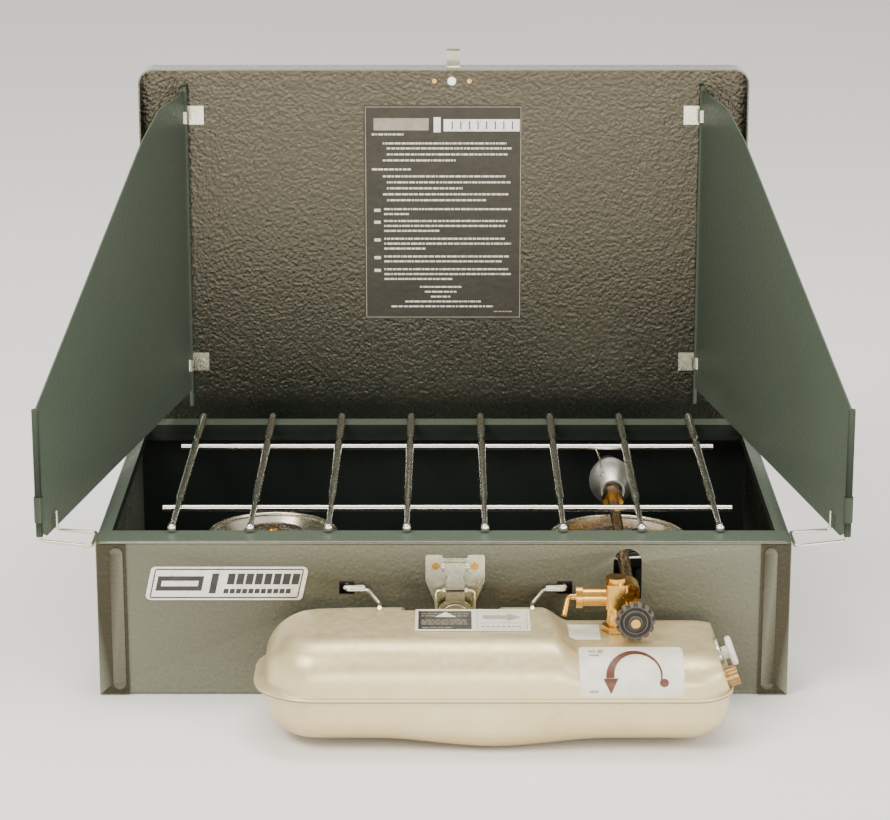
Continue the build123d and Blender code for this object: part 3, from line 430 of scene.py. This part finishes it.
def lathe(name, profile, origin, axis, mats, body, n=48, replaces=(), lobes=None, fmat=None):
    """profile: (radius, height) in mm, spun round axis at origin (mm)."""
    ax = Vector(axis).normalized()
    ref = Vector((0, 0, 1)) if abs(ax.z) < 0.9 else Vector((1, 0, 0))
    u = ax.cross(ref).normalized()
    v = ax.cross(u).normalized()
    o = V(*origin)
    verts, faces, fm = [], [], []
    for (r, h) in profile:
        for k in range(n):
            a = 2 * math.pi * k / n
            rr = r * (lobes(a, r, h) if lobes else 1.0)
            verts.append(o + (u * math.cos(a) + v * math.sin(a)) * (rr / 1000) + ax * (h / 1000))
    for i in range(len(profile) - 1):
        for k in range(n):
            k2 = (k + 1) % n
            faces.append((i * n + k, i * n + k2, (i + 1) * n + k2, (i + 1) * n + k))
            fm.append(fmat[i] if fmat else 0)
    if profile[0][0] > 1e-4:
        faces.append(tuple(range(n)))
        fm.append(fmat[0] if fmat else 0)
    if profile[-1][0] > 1e-4:
        faces.append(tuple((len(profile) - 1) * n + k for k in range(n)))
        fm.append(fmat[-1] if fmat else 0)
    ob = new_obj(name, verts, faces, mats, body, replaces, fmat=fm if fmat else None)
    b = bmesh.new()
    b.from_mesh(ob.data)
    bmesh.ops.remove_doubles(b, verts=b.verts, dist=1e-6)
    bmesh.ops.recalc_face_normals(b, faces=b.faces)
    b.to_mesh(ob.data)
    b.free()
    ob.data.shade_smooth()
    sharpen(ob, 38)
    return ob


def sharpen(o, angle=35):
    me = o.data
    b = bmesh.new()
    b.from_mesh(me)
    for e in b.edges:
        if len(e.link_faces) == 2:
            e.smooth = e.calc_face_angle(0) < math.radians(angle)
    for f in b.faces:
        f.smooth = True
    b.to_mesh(me)
    b.free()


def tube(name, pts, radius, mats, body, n=14, replaces=(), caps=True, close=False, sub=6):
    """A wire through points (mm) with rounded corners and round ends."""
    P = [V(*p) for p in pts]
    path = []
    for i, p in enumerate(P):
        if 0 < i < len(P) - 1:
            a, b = (P[i - 1] - p), (P[i + 1] - p)
            cut = min(a.length, b.length) * 0.42
            cut = min(cut, radius / 1000 * 3.2)
            q0, q1 = p + a.normalized() * cut, p + b.normalized() * cut
            for k in range(sub + 1):
                t = k / sub
                path.append(q0 * (1 - t) ** 2 + p * 2 * t * (1 - t) + q1 * t * t)
        else:
            path.append(p)
    verts, faces = [], []
    rads = [radius] * len(path)
    if caps:
        d0 = (path[1] - path[0]).normalized()
        d1 = (path[-1] - path[-2]).normalized()
        r = radius / 1000
        heads = [(path[0] + d0 * r * (1 - math.cos(a)), radius * math.sin(a)) for a in (0.25, 0.7, 1.15)]
        tails = [(path[-1] - d1 * r * (1 - math.cos(a)), radius * math.sin(a)) for a in (1.15, 0.7, 0.25)]
        path = [h[0] for h in heads] + [path[0] + d0 * r] + path[1:-1] + [path[-1] - d1 * r] + [t[0] for t in tails]
        rads = [h[1] for h in heads] + [radius] * (len(path) - 6) + [t[1] for t in tails]
    prev = None
    for i, p in enumerate(path):
        a = path[max(0, i - 1)]
        b = path[min(len(path) - 1, i + 1)]
        d = (b - a).normalized()
        if prev is None:
            ref = Vector((0, 0, 1)) if abs(d.z) < 0.9 else Vector((1, 0, 0))
            u = d.cross(ref).normalized()
        else:
            u = (prev - d * prev.dot(d)).normalized()
        prev = u
        v = d.cross(u)
        for k in range(n):
            t = 2 * math.pi * k / n
            verts.append(p + (u * math.cos(t) + v * math.sin(t)) * rads[i] / 1000)
    for i in range(len(path) - 1):
        for k in range(n):
            k2 = (k + 1) % n
            faces.append((i * n + k, i * n + k2, (i + 1) * n + k2, (i + 1) * n + k))
    faces.append(tuple(range(n)))
    faces.append(tuple((len(path) - 1) * n + k for k in range(n)))
    o = new_obj(name, verts, faces, mats, body, replaces)
    fix_normals(o)
    return o


# ------------------------------------------------------------------
# fuel tank
# ------------------------------------------------------------------
TX0, TX1, TY0, TY1 = -118.0, 180.0, -106.0, -8.0
SEAM = 36.5
RL, RR = 38.0, 24.0


def tank_ring(d, nl=74, ns=14, nc=14):
    """Plan outline of the tank drawn in by d: points in mm, anticlockwise from the front left."""
    x0, x1, y0, y1 = TX0 + d, TX1 - d, TY0 + d, TY1 - d
    rl, rr = max(RL - d, 0.4), max(RR - d, 0.4)
    pts = []
    for k in range(nl):
        t = k / nl
        pts.append((x0 + rl + (x1 - rr - x0 - rl) * t, y0))
    for k in range(nc):
        a = -math.pi / 2 + math.pi / 2 * k / nc
        pts.append((x1 - rr + rr * math.cos(a), y0 + rr + rr * math.sin(a)))
    for k in range(ns):
        t = k / ns
        pts.append((x1, y0 + rr + (y1 - y0 - 2 * rr) * t))
    for k in range(nc):
        a = math.pi / 2 * k / nc
        pts.append((x1 - rr + rr * math.cos(a), y1 - rr + rr * math.sin(a)))
    for k in range(nl):
        t = k / nl
        pts.append((x1 - rr + (x0 + rl - x1 + rr) * t, y1))
    for k in range(nc):
        a = math.pi / 2 + math.pi / 2 * k / nc
        pts.append((x0 + rl + rl * math.cos(a), y1 - rl + rl * math.sin(a)))
    for k in range(ns):
        t = k / ns
        pts.append((x0, y1 - rl + (y0 - y1 + 2 * rl) * t))
    for k in range(nc):
        a = math.pi + math.pi / 2 * k / nc
        pts.append((x0 + rl + rl * math.cos(a), y0 + rl + rl * math.sin(a)))
    return pts


def tank_top(x, y):
    z = 70.9 - 9.6 * sstep(66, 84, x + 0.10 * (y + 57))
    z -= 1.6 * sstep(-40, -112, x)
    return z


def tank_warp(x, y, z):
    """Leaning right end, and the sump at the bottom of the front."""
    if abs(z - SEAM) > 1.6:
        x += 4.6 * sstep(-70, -116, x) * sstep(1.6, 5.0, abs(z - SEAM))
    if z > SEAM:
        x = x + (z - SEAM - 1.9) * 0.40 * sstep(151, 170, x) if z > SEAM + 1.9 else x
    else:
        low = sstep(30, 6, z) * sstep(-55, -98, y)
        swell = max(0.0, 1 - abs(x - 31) / 74.0)
        swell = swell * swell * (3 - 2 * swell)
        y -= 3.2 * swell * low
        z -= 4.6 * swell * low
        z = max(z, 1.7)
    return x, y, z


UP_R, LO_R = 24.0, 23.0


def upper_level(t):
    """t in 0..1 up the wall and over the shoulder, 1..2 in to the middle."""
    if t <= 1:
        wall = 9.0
        if t < 0.2:
            return 0.25 * t / 0.2, wall * t / 0.2 / 34.4
        a = (t - 0.2) / 0.8 * math.pi / 2
        return 0.25 + UP_R * (1 - math.cos(a)) ** 1.02, (wall + (34.4 - wall) * math.sin(a) ** 0.96) / 34.4 * 0.985
    s = t - 1
    return 0.25 + UP_R + (48.2 - UP_R - 0.25) * s, 0.985 + 0.015 * math.sin(s * math.pi / 2)


def lower_level(t):
    if t <= 1:
        wall = 8.0
        if t < 0.2:
            return 0.25 * t / 0.2, wall * t / 0.2 / 32.4
        a = (t - 0.2) / 0.8 * math.pi / 2
        return 0.25 + LO_R * (1 - math.cos(a)), (wall + (32.4 - wall) * math.sin(a)) / 32.4 * 0.99
    s = t - 1
    return 0.25 + LO_R + (48.2 - LO_R - 0.25) * s, 0.99 + 0.01 * math.sin(s * math.pi / 2)


def upper_point(x, y, g):
    z = SEAM + 0.6 + (tank_top(x, y) - SEAM - 0.6) * g
    return tank_warp(x, y, z)


def lower_point(x, y, g):
    z = SEAM - 0.6 - (SEAM - 0.6 - 4.1) * g
    return tank_warp(x, y, z)


def tank_half(name, upper, node):
    levels = [i / 24 * 1.0 for i in range(25)] + [1 + i / 9 for i in range(1, 10)]
    verts, faces = [], []
    n = 0
    lip = [(-2.0, 0.0), (-2.2, 0.35), (-2.15, 1.0), (-1.7, 1.35), (-0.5, 1.45), (0.0, 1.75)]
    for d, h in lip:
        ring = tank_ring(d)
        n = len(ring)
        for (x, y) in ring:
            z = SEAM + h if upper else SEAM - h
            verts.append(V(x, y, z))
    base = len(lip)
    for t in levels[1:]:
        d, g = upper_level(t) if upper else lower_level(t)
        for (x, y) in tank_ring(d):
            g2 = max(g, 0.0)
            p = upper_point(x, y, g2) if upper else lower_point(x, y, g2)
            if t < 0.06:
                p = (p[0], p[1], max(p[2], SEAM + 1.9) if upper else min(p[2], SEAM - 1.9))
            verts.append(V(*p))
    total = base + len(levels) - 1
    for i in range(total - 1):
        for k in range(n):
            k2 = (k + 1) % n
            faces.append((i * n + k, i * n + k2, (i + 1) * n + k2, (i + 1) * n + k))
    last = (total - 1) * n
    half = n // 2
    # close the middle strip
    nl, ns, nc = 74, 14, 14
    # bottom (front) row 0..nl, back row runs the other way
    front = list(range(0, nl + 1))
    back0 = nl + nc + ns + nc
    back = [back0 + nl - k for k in range(nl + 1)]
    for k in range(nl):
        faces.append((last + front[k], last + front[k + 1], last + back[k + 1], last + back[k]))
    right = list(range(nl, nl + nc + ns + nc + 1))
    faces.append(tuple(last + r for r in right))
    left = list(range(back0 + nl, n)) + [0]
    faces.append(tuple(last + r for r in left))
    # inner lip edge closed by a flat underside
    o = new_obj(name, verts, faces, "tank", "tank", (node,))
    b = bmesh.new()
    b.from_mesh(o.data)
    bmesh.ops.remove_doubles(b, verts=b.verts, dist=2e-5)
    edge_loop = [e for e in b.edges if len(e.link_faces) == 1]
    bmesh.ops.contextual_create(b, geom=edge_loop)
    bmesh.ops.recalc_face_normals(b, faces=b.faces)
    b.to_mesh(o.data)
    b.free()
    sharpen(o, 50)
    return o


tank_up = tank_half("tank_top_pressing", True, "tank_upper_shell")


def carve(o, cutter_verts, cutter_faces):
    """Take a closed shape out of a closed mesh, keeping the result as plain mesh data."""
    me = D.meshes.new("cutter")
    me.from_pydata([tuple(v) for v in cutter_verts], [], cutter_faces)
    c = D.objects.new("cutter", me)
    scene.collection.objects.link(c)
    b = bmesh.new()
    b.from_mesh(me)
    bmesh.ops.recalc_face_normals(b, faces=b.faces)
    b.to_mesh(me)
    b.free()
    md = o.modifiers.new("cut", "BOOLEAN")
    md.operation = "DIFFERENCE"
    md.solver = "EXACT"
    md.object = c
    bpy.context.view_layer.update()
    dg = bpy.context.evaluated_depsgraph_get()
    new = D.meshes.new_from_object(o.evaluated_get(dg))
    o.modifiers.clear()
    o.data = new
    D.objects.remove(c)
    sharpen(o, 50)


# flat leaning end that carries the pump and the filler
tc, ts = math.cos(math.radians(20)), math.sin(math.radians(20))
end = [(175.0 + 13.9 * ts / tc + 0.05 - 0.6, 37.9), (175.0 - 29.8 * ts / tc - 0.6, 80.0), (230.0, 80.0), (230.0, 37.9)]
carve(tank_up, [V(x, -120.0, z) for x, z in end] + [V(x, 6.0, z) for x, z in end],
      [tuple(range(4)), tuple(range(7, 3, -1))] + [(k, 4 + k, 4 + (k + 1) % 4, (k + 1) % 4) for k in range(4)])
# pocket in the rear shoulder that clears the latch
pk = [(-25.0, 49.5), (35.5, 49.5), (35.5, 65.0), (44.5, 80.0), (-31.0, 80.0), (-25.0, 65.0)]
carve(tank_up, [V(x, -34.0, z) for x, z in pk] + [V(x, 6.0, z) for x, z in pk],
      [tuple(range(6)), tuple(range(11, 5, -1))] + [(k, 6 + k, 6 + (k + 1) % 6, (k + 1) % 6) for k in range(6)])
tank_lo = tank_half("tank_bottom_pressing", False, "tank_lower_shell")


def surf(x, t):
    d, g = upper_level(t)
    return Vector(upper_point(x, TY0 + d, g))


def patch_point(x, t, lift):
    p = surf(x, t)
    a = surf(x + 0.5, t) - surf(x - 0.5, t)
    b = surf(x, t + 0.01) - surf(x, t - 0.01)
    nrm = a.cross(b).normalized()
    q = p + nrm * lift
    return V(*q)


def film_shape(name, poly, lift, mat, to_surface, slot="decal", body="tank", grid=None):
    """A flat outline (u, v in mm) printed on a surface given by to_surface(u, v, lift)."""
    b = bmesh.new()
    vs = [b.verts.new((u, v, 0)) for u, v in poly]
    f = b.faces.new(vs)
    bmesh.ops.triangulate(b, faces=[f])
    for _ in range(2):
        long_e = [e for e in b.edges if e.calc_length() > 3.0]
        if not long_e:
            break
        bmesh.ops.subdivide_edges(b, edges=long_e, cuts=2)
        bmesh.ops.triangulate(b, faces=b.faces[:])
    verts = [to_surface(v.co.x, v.co.y, lift) for v in b.verts]
    b.verts.index_update()
    faces = [tuple(v.index for v in f.verts) for f in b.faces]
    b.free()
    return new_obj(name, verts, faces, mat, body, ())




# ------------------------------------------------------------------
# printed panels: plain bars and outlines only
# ------------------------------------------------------------------
def bars(name, rects, to_surface, lift, mat, body, step=6.0, rows_=1):
    """rects are (u0, v0, u1, v1) or 4-point tuples in mm on a surface."""
    verts, faces = [], []
    for r in rects:
        if len(r) == 4 and not isinstance(r[0], tuple):
            u0, v0, u1, v1 = r
            q = [(u0, v0), (u1, v0), (u1, v1), (u0, v1)]
        else:
            q = list(r)
        n = max(1, int(abs(q[1][0] - q[0][0]) / step))
        base = len(verts)
        for i in range(n + 1):
            t = i / n
            a = (q[0][0] + (q[1][0] - q[0][0]) * t, q[0][1] + (q[1][1] - q[0][1]) * t)
            b = (q[3][0] + (q[2][0] - q[3][0]) * t, q[3][1] + (q[2][1] - q[3][1]) * t)
            for j in range(rows_ + 1):
                w = j / rows_
                verts.append(to_surface(a[0] + (b[0] - a[0]) * w, a[1] + (b[1] - a[1]) * w, lift))
        for i in range(n):
            for j in range(rows_):
                k = base + (rows_ + 1) * i + j
                faces.append((k, k + rows_ + 1, k + rows_ + 2, k + 1))
    return new_obj(name, verts, faces, mat, body, (), smooth=False)


def outline(x0, y0, x1, y1, w):
    return [(x0, y0, x1, y0 + w), (x0, y1 - w, x1, y1), (x0, y0 + w, x0 + w, y1 - w), (x1 - w, y0 + w, x1, y1 - w)]


rng = random.Random(71)


def word_row(x0, x1, z, h, dense=0.9):
    """One row of plain dashes that fills x0..x1."""
    out = []
    x = x0
    while x < x1 - 0.6:
        w = min(rng.uniform(1.0, 4.6), x1 - x)
        out.append((x, z, x + w, z + h))
        x += w + rng.uniform(0.45, 0.85)
    return out


def on_lid(u, v, lift):
    return V(u, 356.42 - lift, v)


LX = lambda px: -0.8 + (px - 442) * 0.747
LZ = lambda py: 247.5 + (215 - py) * 0.7593
rows = []
for py, a, b in ((137, 371, 403), (146, 382, 506), (151, 386, 511), (157, 386, 507), (163, 382, 455),
                 (172, 371, 410), (179, 382, 505), (185, 386, 510), (191, 386, 462), (197, 382, 508), (203, 386, 487),
                 (212, 383, 511), (217, 383, 408), (224, 383, 508), (229, 383, 505), (234, 383, 440),
                 (242, 383, 506), (247, 383, 511), (252, 383, 425), (260, 383, 509), (265, 383, 503),
                 (273, 383, 508), (278, 383, 511), (283, 383, 452)):
    rows += word_row(LX(a), LX(b), LZ(py), 1.45)
for py, a, b in ((291, 419, 461), (296, 424, 456), (301, 430, 450), (306, 404, 482), (311, 390, 493)):
    rows += word_row(LX(a), LX(b), LZ(py), 1.3)
for py in (213, 225, 243, 261, 274):
    rows.append((LX(373), LZ(py) - 0.6, LX(379.5), LZ(py) + 1.7))
bars("decal_rows", rows, on_lid, 0.06, "film", "lid")
bars("decal_small_rows", word_row(LX(494), LX(513), LZ(316), 0.9), on_lid, 0.06, "grey", "lid")
bars("decal_edge", outline(LX(364.5), LZ(321.5), LX(520.5), LZ(108.5), 0.45), on_lid, 0.06, "grey", "lid")
bars("decal_head", [(LX(433), LZ(134), LX(440), LZ(119)), (LX(443), LZ(133), LX(519), LZ(121))], on_lid, 0.06, "silver", "lid")
bars("decal_head_block", [((LX(373), LZ(132)), (LX(428), LZ(132)), (LX(428), LZ(120)), (LX(373), LZ(120)))],
     on_lid, 0.06, "grey", "lid")
bars("decal_head_gaps", [(LX(451 + 8.6 * k), LZ(131), LX(452.2 + 8.6 * k), LZ(123)) for k in range(8)],
     on_lid, 0.12, "decal", "lid")


def on_front(u, v, lift):
    return V(u, -0.9 - lift, v)


# nameplate: slanted, silver, with a dark border line and plain bars
def plate_pt(u, v):
    """u, v in 0..1 over the slanted plate."""
    zl, zh = 65.8, 88.6
    z = zl + (zh - zl) * v
    xl = -195.0 + 5.0 * v + 1.2
    xr = -92.5 + 5.0 * v - 1.2
    return (xl + (xr - xl) * u, z)


def plate_quad(u0, v0, u1, v1):
    return (plate_pt(u0, v0), plate_pt(u1, v0), plate_pt(u1, v1), plate_pt(u0, v1))


bars("nameplate_border", [plate_quad(0.02, 0.055, 0.98, 0.095), plate_quad(0.02, 0.905, 0.98, 0.945),
                          plate_quad(0.015, 0.095, 0.024, 0.905), plate_quad(0.976, 0.095, 0.985, 0.905)],
     on_front, 0.06, "ink", "case")
bars("nameplate_block", [plate_quad(0.045, 0.28, 0.345, 0.72)], on_front, 0.06, "ink", "case")
bars("nameplate_block_bar", [plate_quad(0.075, 0.42, 0.315, 0.58)], on_front, 0.12, "silver", "case")
bars("nameplate_bars", [plate_quad(0.395, 0.2, 0.44, 0.8)] +
     [plate_quad(0.50 + 0.060 * k, 0.47, 0.548 + 0.060 * k, 0.80) for k in range(8)],
     on_front, 0.06, "ink", "case")
bars("nameplate_small_bars", [plate_quad(0.49 + 0.0405 * k, 0.20, 0.522 + 0.0405 * k, 0.34) for k in range(11)],
     on_front, 0.06, "ink", "case")


# label on top of the tank
def on_tank_top(u, v, lift):
    return V(u, v, 71.32 + lift)


TXp = lambda px: -18 + (px - 418) / 1.534
TYp = lambda py: -34 - (py - 612) * 40 / 28.0
bars("top_label_block", [(TXp(421), TYp(638), TXp(473), TYp(614.5))], on_tank_top, 0.03, "ink", "tank")
lines = []
for py, a, b in ((618, 424, 470), (621, 424, 470), (626.5, 424, 470), (629, 424, 468), (631.5, 424, 470), (636, 425, 455)):
    x = TXp(a)
    while x < TXp(b) - 1:
        w = min(rng.uniform(1.6, 4.4), TXp(b) - x)
        lines.append((x, TYp(py) - 0.55, x + w, TYp(py) + 0.55))
        x += w + 0.8
bars("top_label_lines", lines, on_tank_top, 0.06, "grey", "tank")
bars("top_label_mark", [((TXp(437), TYp(622.5)), (TXp(458), TYp(622.5)), (TXp(448), TYp(616)), (TXp(447), TYp(616)))],
     on_tank_top, 0.08, "film", "tank")
bars("top_label_frame", outline(TXp(478), TYp(629.5), TXp(527), TYp(615), 0.5) + outline(TXp(478), TYp(638), TXp(527), TYp(631), 0.4),
     on_tank_top, 0.03, "grey", "tank")
bars("top_label_arrow", [(TXp(484), TYp(625), TXp(508), TYp(620)),
                         ((TXp(508), TYp(627.5)), (TXp(521), TYp(622.6)), (TXp(521), TYp(622.4)), (TXp(508), TYp(617.5)))] +
     [(TXp(482 + 5 * k), TYp(635.4), TXp(485.6 + 5 * k), TYp(633.6)) for k in range(8)],
     on_tank_top, 0.03, "grey", "tank")


def on_shelf(u, v, lift):
    return V(u, v, tank_top(u, v) + 0.05 + lift)


bars("shelf_patch", [(79.5, -64.0, 99.5, -36.0)], on_shelf, 0.22, "film", "tank", step=2.0, rows_=6)


# control label that wraps over the front shoulder, under the knob
PRINT_ROWS = ((700.4, 0.0), (697.9, 0.05), (695.5, 0.1), (690.8, 0.2), (685.0, 0.3), (679.2, 0.4), (673.4, 0.5),
              (667.8, 0.6), (662.5, 0.7), (657.7, 0.8), (653.7, 0.9), (650.5, 1.0), (649.0, 1.12), (646.4, 1.3))


def row_to_t(r):
    for (a, ta), (b, tb) in zip(PRINT_ROWS, PRINT_ROWS[1:]):
        if a >= r >= b:
            return ta + (tb - ta) * (a - r) / (a - b)
    return PRINT_ROWS[0][1] if r > PRINT_ROWS[0][0] else PRINT_ROWS[-1][1]


def on_shoulder(u, v, lift):
    """u across, v down: label layout units, 104 wide and 50 tall."""
    return patch_point(84.5 + (u - 580) / 104.0 * 65.0, row_to_t(v), lift)


def sheet_patch(name, u0, v0, u1, v1, lift, mat, nx=26, ny=26, radius=3.0, replaces=()):
    verts, faces = [], []
    for j in range(ny + 1):
        v = v0 + (v1 - v0) * j / ny
        inset = 0.0
        e = min(v - v0, v1 - v)
        if e < radius:
            inset = radius - math.sqrt(max(0.0, radius ** 2 - (radius - e) ** 2))
        for i in range(nx + 1):
            u = u0 + inset + (u1 - u0 - 2 * inset) * i / nx
            verts.append(on_shoulder(u, v, lift))
    for j in range(ny):
        for i in range(nx):
            k = j * (nx + 1) + i
            faces.append((k, k + nx + 1, k + nx + 2, k + 1))
    return new_obj(name, verts, faces, mat, "tank", replaces)


sheet_patch("control_label", 580, 647.5, 684, 696.6, 0.25, "film", replaces=("tank_front_label",))
arc = []
na = 34
for k in range(na + 1):
    t = k / na
    a = math.radians(-14 + 200 * t)
    w = 1.4 + 7.2 * t ** 1.2
    cx_, cy_ = 636.0, 676.0
    rx, ry = 25.6, 23.0
    wy = w * 0.72
    arc.append((cx_ + (rx - w / 2) * math.cos(a), cy_ - (ry - wy / 2) * math.sin(a),
                cx_ + (rx + w / 2) * math.cos(a), cy_ - (ry + wy / 2) * math.sin(a)))
verts, faces = [], []
for (ax_, ay_, bx_, by_) in arc:
    verts += [on_shoulder(ax_, ay_, 0.42), on_shoulder(bx_, by_, 0.42)]
for k in range(na):
    faces.append((2 * k, 2 * k + 1, 2 * k + 3, 2 * k + 2))
new_obj("control_arrow", verts, faces, "ink_brown", "tank", ())
bars("control_arrow_head", [((603.5, 679.0), (618.5, 678.5), (611.6, 693.5), (611.0, 693.5))], on_shoulder, 0.46, "ink_brown", "tank", step=1.5, rows_=10)
dv, df = [on_shoulder(664, 683, 0.44)], []
for k in range(20):
    a = 2 * math.pi * k / 20
    dv.append(on_shoulder(664 + 4.6 * math.cos(a), 683 + 4.2 * math.sin(a), 0.44))
for k in range(20):
    df.append((0, 1 + k, 1 + (k + 1) % 20))
new_obj("control_dot", dv, df, "ink_brown", "tank", ())
bars("control_marks", [(590, 693, 599, 690.5)], on_shoulder, 0.44, "grey", "tank", step=2.0, rows_=2)
bars("control_marks_top", [(590, 653, 597, 651), (599, 653.5, 604, 650.5), (590, 656.5, 600, 655)], on_shoulder, 0.44, "grey", "tank", step=2.0, rows_=2)


# ------------------------------------------------------------------
# grate bars: round wire, pressed narrow at the crossings, ball at the front end
# ------------------------------------------------------------------
def grate_profile(y):
    """Radius of a bar at y mm."""
    if y < 21:
        k = (21 - y) / 5.0
        return 2.75 if y > 17.5 else 2.75 * math.sqrt(max(0.0, 1 - ((17.5 - y) / 1.5) ** 2)) + 0.05
    if y < 23:
        return 2.75 - 0.85 * sstep(21, 23, y)
    r = 2.75
    if y < 84:
        r = 1.9 + 0.85 * sstep(77, 84, y)
    neck = max(0.0, 1 - abs(y - 220) / 9.0)
    r -= 1.0 * neck * neck * (3 - 2 * neck)
    if y > 283.4:
        r = r * math.sqrt(max(0.0, 1 - ((y - 283.4) / 1.6) ** 2)) + 0.05
    return r


ys = [16.0, 16.2, 16.6, 17.1, 17.5, 19, 20.5, 21, 21.7, 22.4, 23, 40, 60, 74, 77, 78.5, 80, 81.5, 83, 84, 110, 150, 190,
      210, 212, 214, 216, 218, 220, 222, 224, 226, 228, 230, 250, 270, 283.4, 284, 284.4, 284.7, 285.0]
verts, faces, fm = [], [], []
NS = 22
for b_ in range(8):
    bx_ = 1.55 + 51.3 * (b_ - 3.5)
    base = len(verts)
    for y in ys:
        r = grate_profile(y)
        for k in range(NS):
            a = 2 * math.pi * k / NS
            verts.append(V(bx_ + r * math.cos(a), y, 109.0 + r * math.sin(a)))
    for i in range(len(ys) - 1):
        for k in range(NS):
            k2 = (k + 1) % NS
            faces.append((base + i * NS + k, base + i * NS + k2, base + (i + 1) * NS + k2, base + (i + 1) * NS + k))
            fm.append(1 if ys[i] < 22 or ys[i] > 280 else 0)
    faces.append(tuple(base + k for k in range(NS)))
    fm.append(1)
    faces.append(tuple(base + (len(ys) - 1) * NS + k for k in range(NS)))
    fm.append(1)
gb = new_obj("grate_bar_set", verts, faces, ["bar", "nickel"], "grate", ("grate_bars",), fmat=fm)
fix_normals(gb)

# ------------------------------------------------------------------
# control knob: moulded, lugs round the rim, stepped face
# ------------------------------------------------------------------
def lugs(a, r, h):
    if r < 10.9:
        return 1.0
    c = 0.5 + 0.5 * math.cos(14 * a)
    return 1.0 - 0.10 * (1 - sstep(0.25, 0.6, c))


lathe("control_knob_moulding",
      [(0, 0), (7.0, 0), (7.2, 1.2), (10.6, 1.6), (12.1, 2.0), (12.55, 2.8), (12.55, 6.4), (12.2, 7.4), (11.2, 8.1),
       (10.4, 8.3), (9.8, 8.0), (9.5, 7.1), (8.9, 6.9), (8.3, 7.2), (7.9, 7.9), (7.3, 8.1), (6.8, 7.8), (6.4, 7.0),
       (5.2, 6.9), (4.9, 7.4), (4.6, 8.3), (4.0, 8.5), (0, 8.5)],
      (120.8, -63.5, 75.6), (0, -1, 0), "phenolic", "control_knob", n=112, replaces=("control_knob",),
      lobes=lugs)

# sleeves on the two hook wires, where they enter the case
for k_, (xa, xb) in enumerate(((-65.5, -50.5), (66.0, 80.5))):
    tube("hook_sleeve_" + "lr"[k_], [(xa, -3.4, 75.2), (xb, -3.4, 75.6)], 1.75, "zinc", "tank", n=16)

# rolled front edge of the case, in a lighter copy of the case enamel that paints a highlight line along it
tube("front_rim_roll", [(-224.2, 0.7, 104.55), (224.2, 0.7, 104.55)], 1.4, "enamel_rim", "case", n=20)

# thumb tab at the foot of the latch lever
tv, tf = [], []
nt_ = 20
for d_ in (0.0, 1.1):
    for k in range(nt_ + 1):
        a = math.pi * k / nt_
        tv.append(V(7.6 + 10.4 * math.cos(a), -9.4 - d_ - 0.5 * math.sin(a), 54.6 + 11.6 * math.sin(a)))
tf.append(tuple(range(nt_ + 1)))
tf.append(tuple(range(2 * nt_ + 1, nt_, -1)))
for k in range(nt_):
    tf.append((k, k + 1, nt_ + 2 + k, nt_ + 1 + k))
tf.append((nt_, 0, nt_ + 1, 2 * nt_ + 1))
tab = new_obj("latch_thumb_tab", tv, tf, "zinc", "latch_lever", ())
fix_normals(tab)
sharpen(tab, 40)
bevel(tab, 0.0003, 2, 40)

# heat wire over the mixing bell, with its bead
tube("bell_wire", [(106.0, 232.5, 103.5), (109.0, 222.0, 104.0), (111.5, 204.0, 101.6), (112.0, 192.0, 99.2), (112.5, 182, 95.8)],
     0.55, "zinc", "case", n=8)
lathe("bell_wire_bead", [(0, -1.4), (1.0, -1.0), (1.4, 0), (1.0, 1.0), (0, 1.4)], (112.5, 182.0, 95.6), (0, 0, 1), "nickel", "case", n=16)

# inside faces of the case are sooty and darker, its top flange is green
for nm in ("case_wrap", "end_panel_left", "end_panel_right"):
    o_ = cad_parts[nm]
    o_.data.materials.append(M["enamel_inner"])
    o_.data.materials.append(M["enamel_green"])
    for p in o_.data.polygons:
        c = o_.matrix_world @ p.center
        n_ = o_.matrix_world.to_3x3() @ p.normal
        x, y, z = c.x * 1000, (c.y - OFF) * 1000, c.z * 1000
        inward = (n_.x * x < -0.3 * abs(x)) or (n_.y * (y - 145) < -0.3 * abs(y - 145)) or (n_.z > 0.5 and z < 60) \
            or (n_.z < -0.5 and z > 60)
        if n_.z > 0.6 and z > 100:
            p.material_index = 2
        elif inward and -224.7 < x < 224.7 and 0.4 < y < 289.6:
            p.material_index = 1

# bevels on the folded sheet edges
for nm, w in (("case_wrap", 0.45), ("end_panel_left", 0.4), ("end_panel_right", 0.4), ("lid_shell", 0.45),
              ("baffle_left", 0.3), ("baffle_right", 0.3), ("lid_catch", 0.3)):
    bevel(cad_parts[nm], w / 1000, 2, 40)

# the middle rivet of the lid is plated, its neighbours are brass
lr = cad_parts["lid_rivets"]
lr.data.materials.append(M["nickel"])
for p in lr.data.polygons:
    if abs((lr.matrix_world @ p.center).x * 1000 - 6) < 5:
        p.material_index = 1
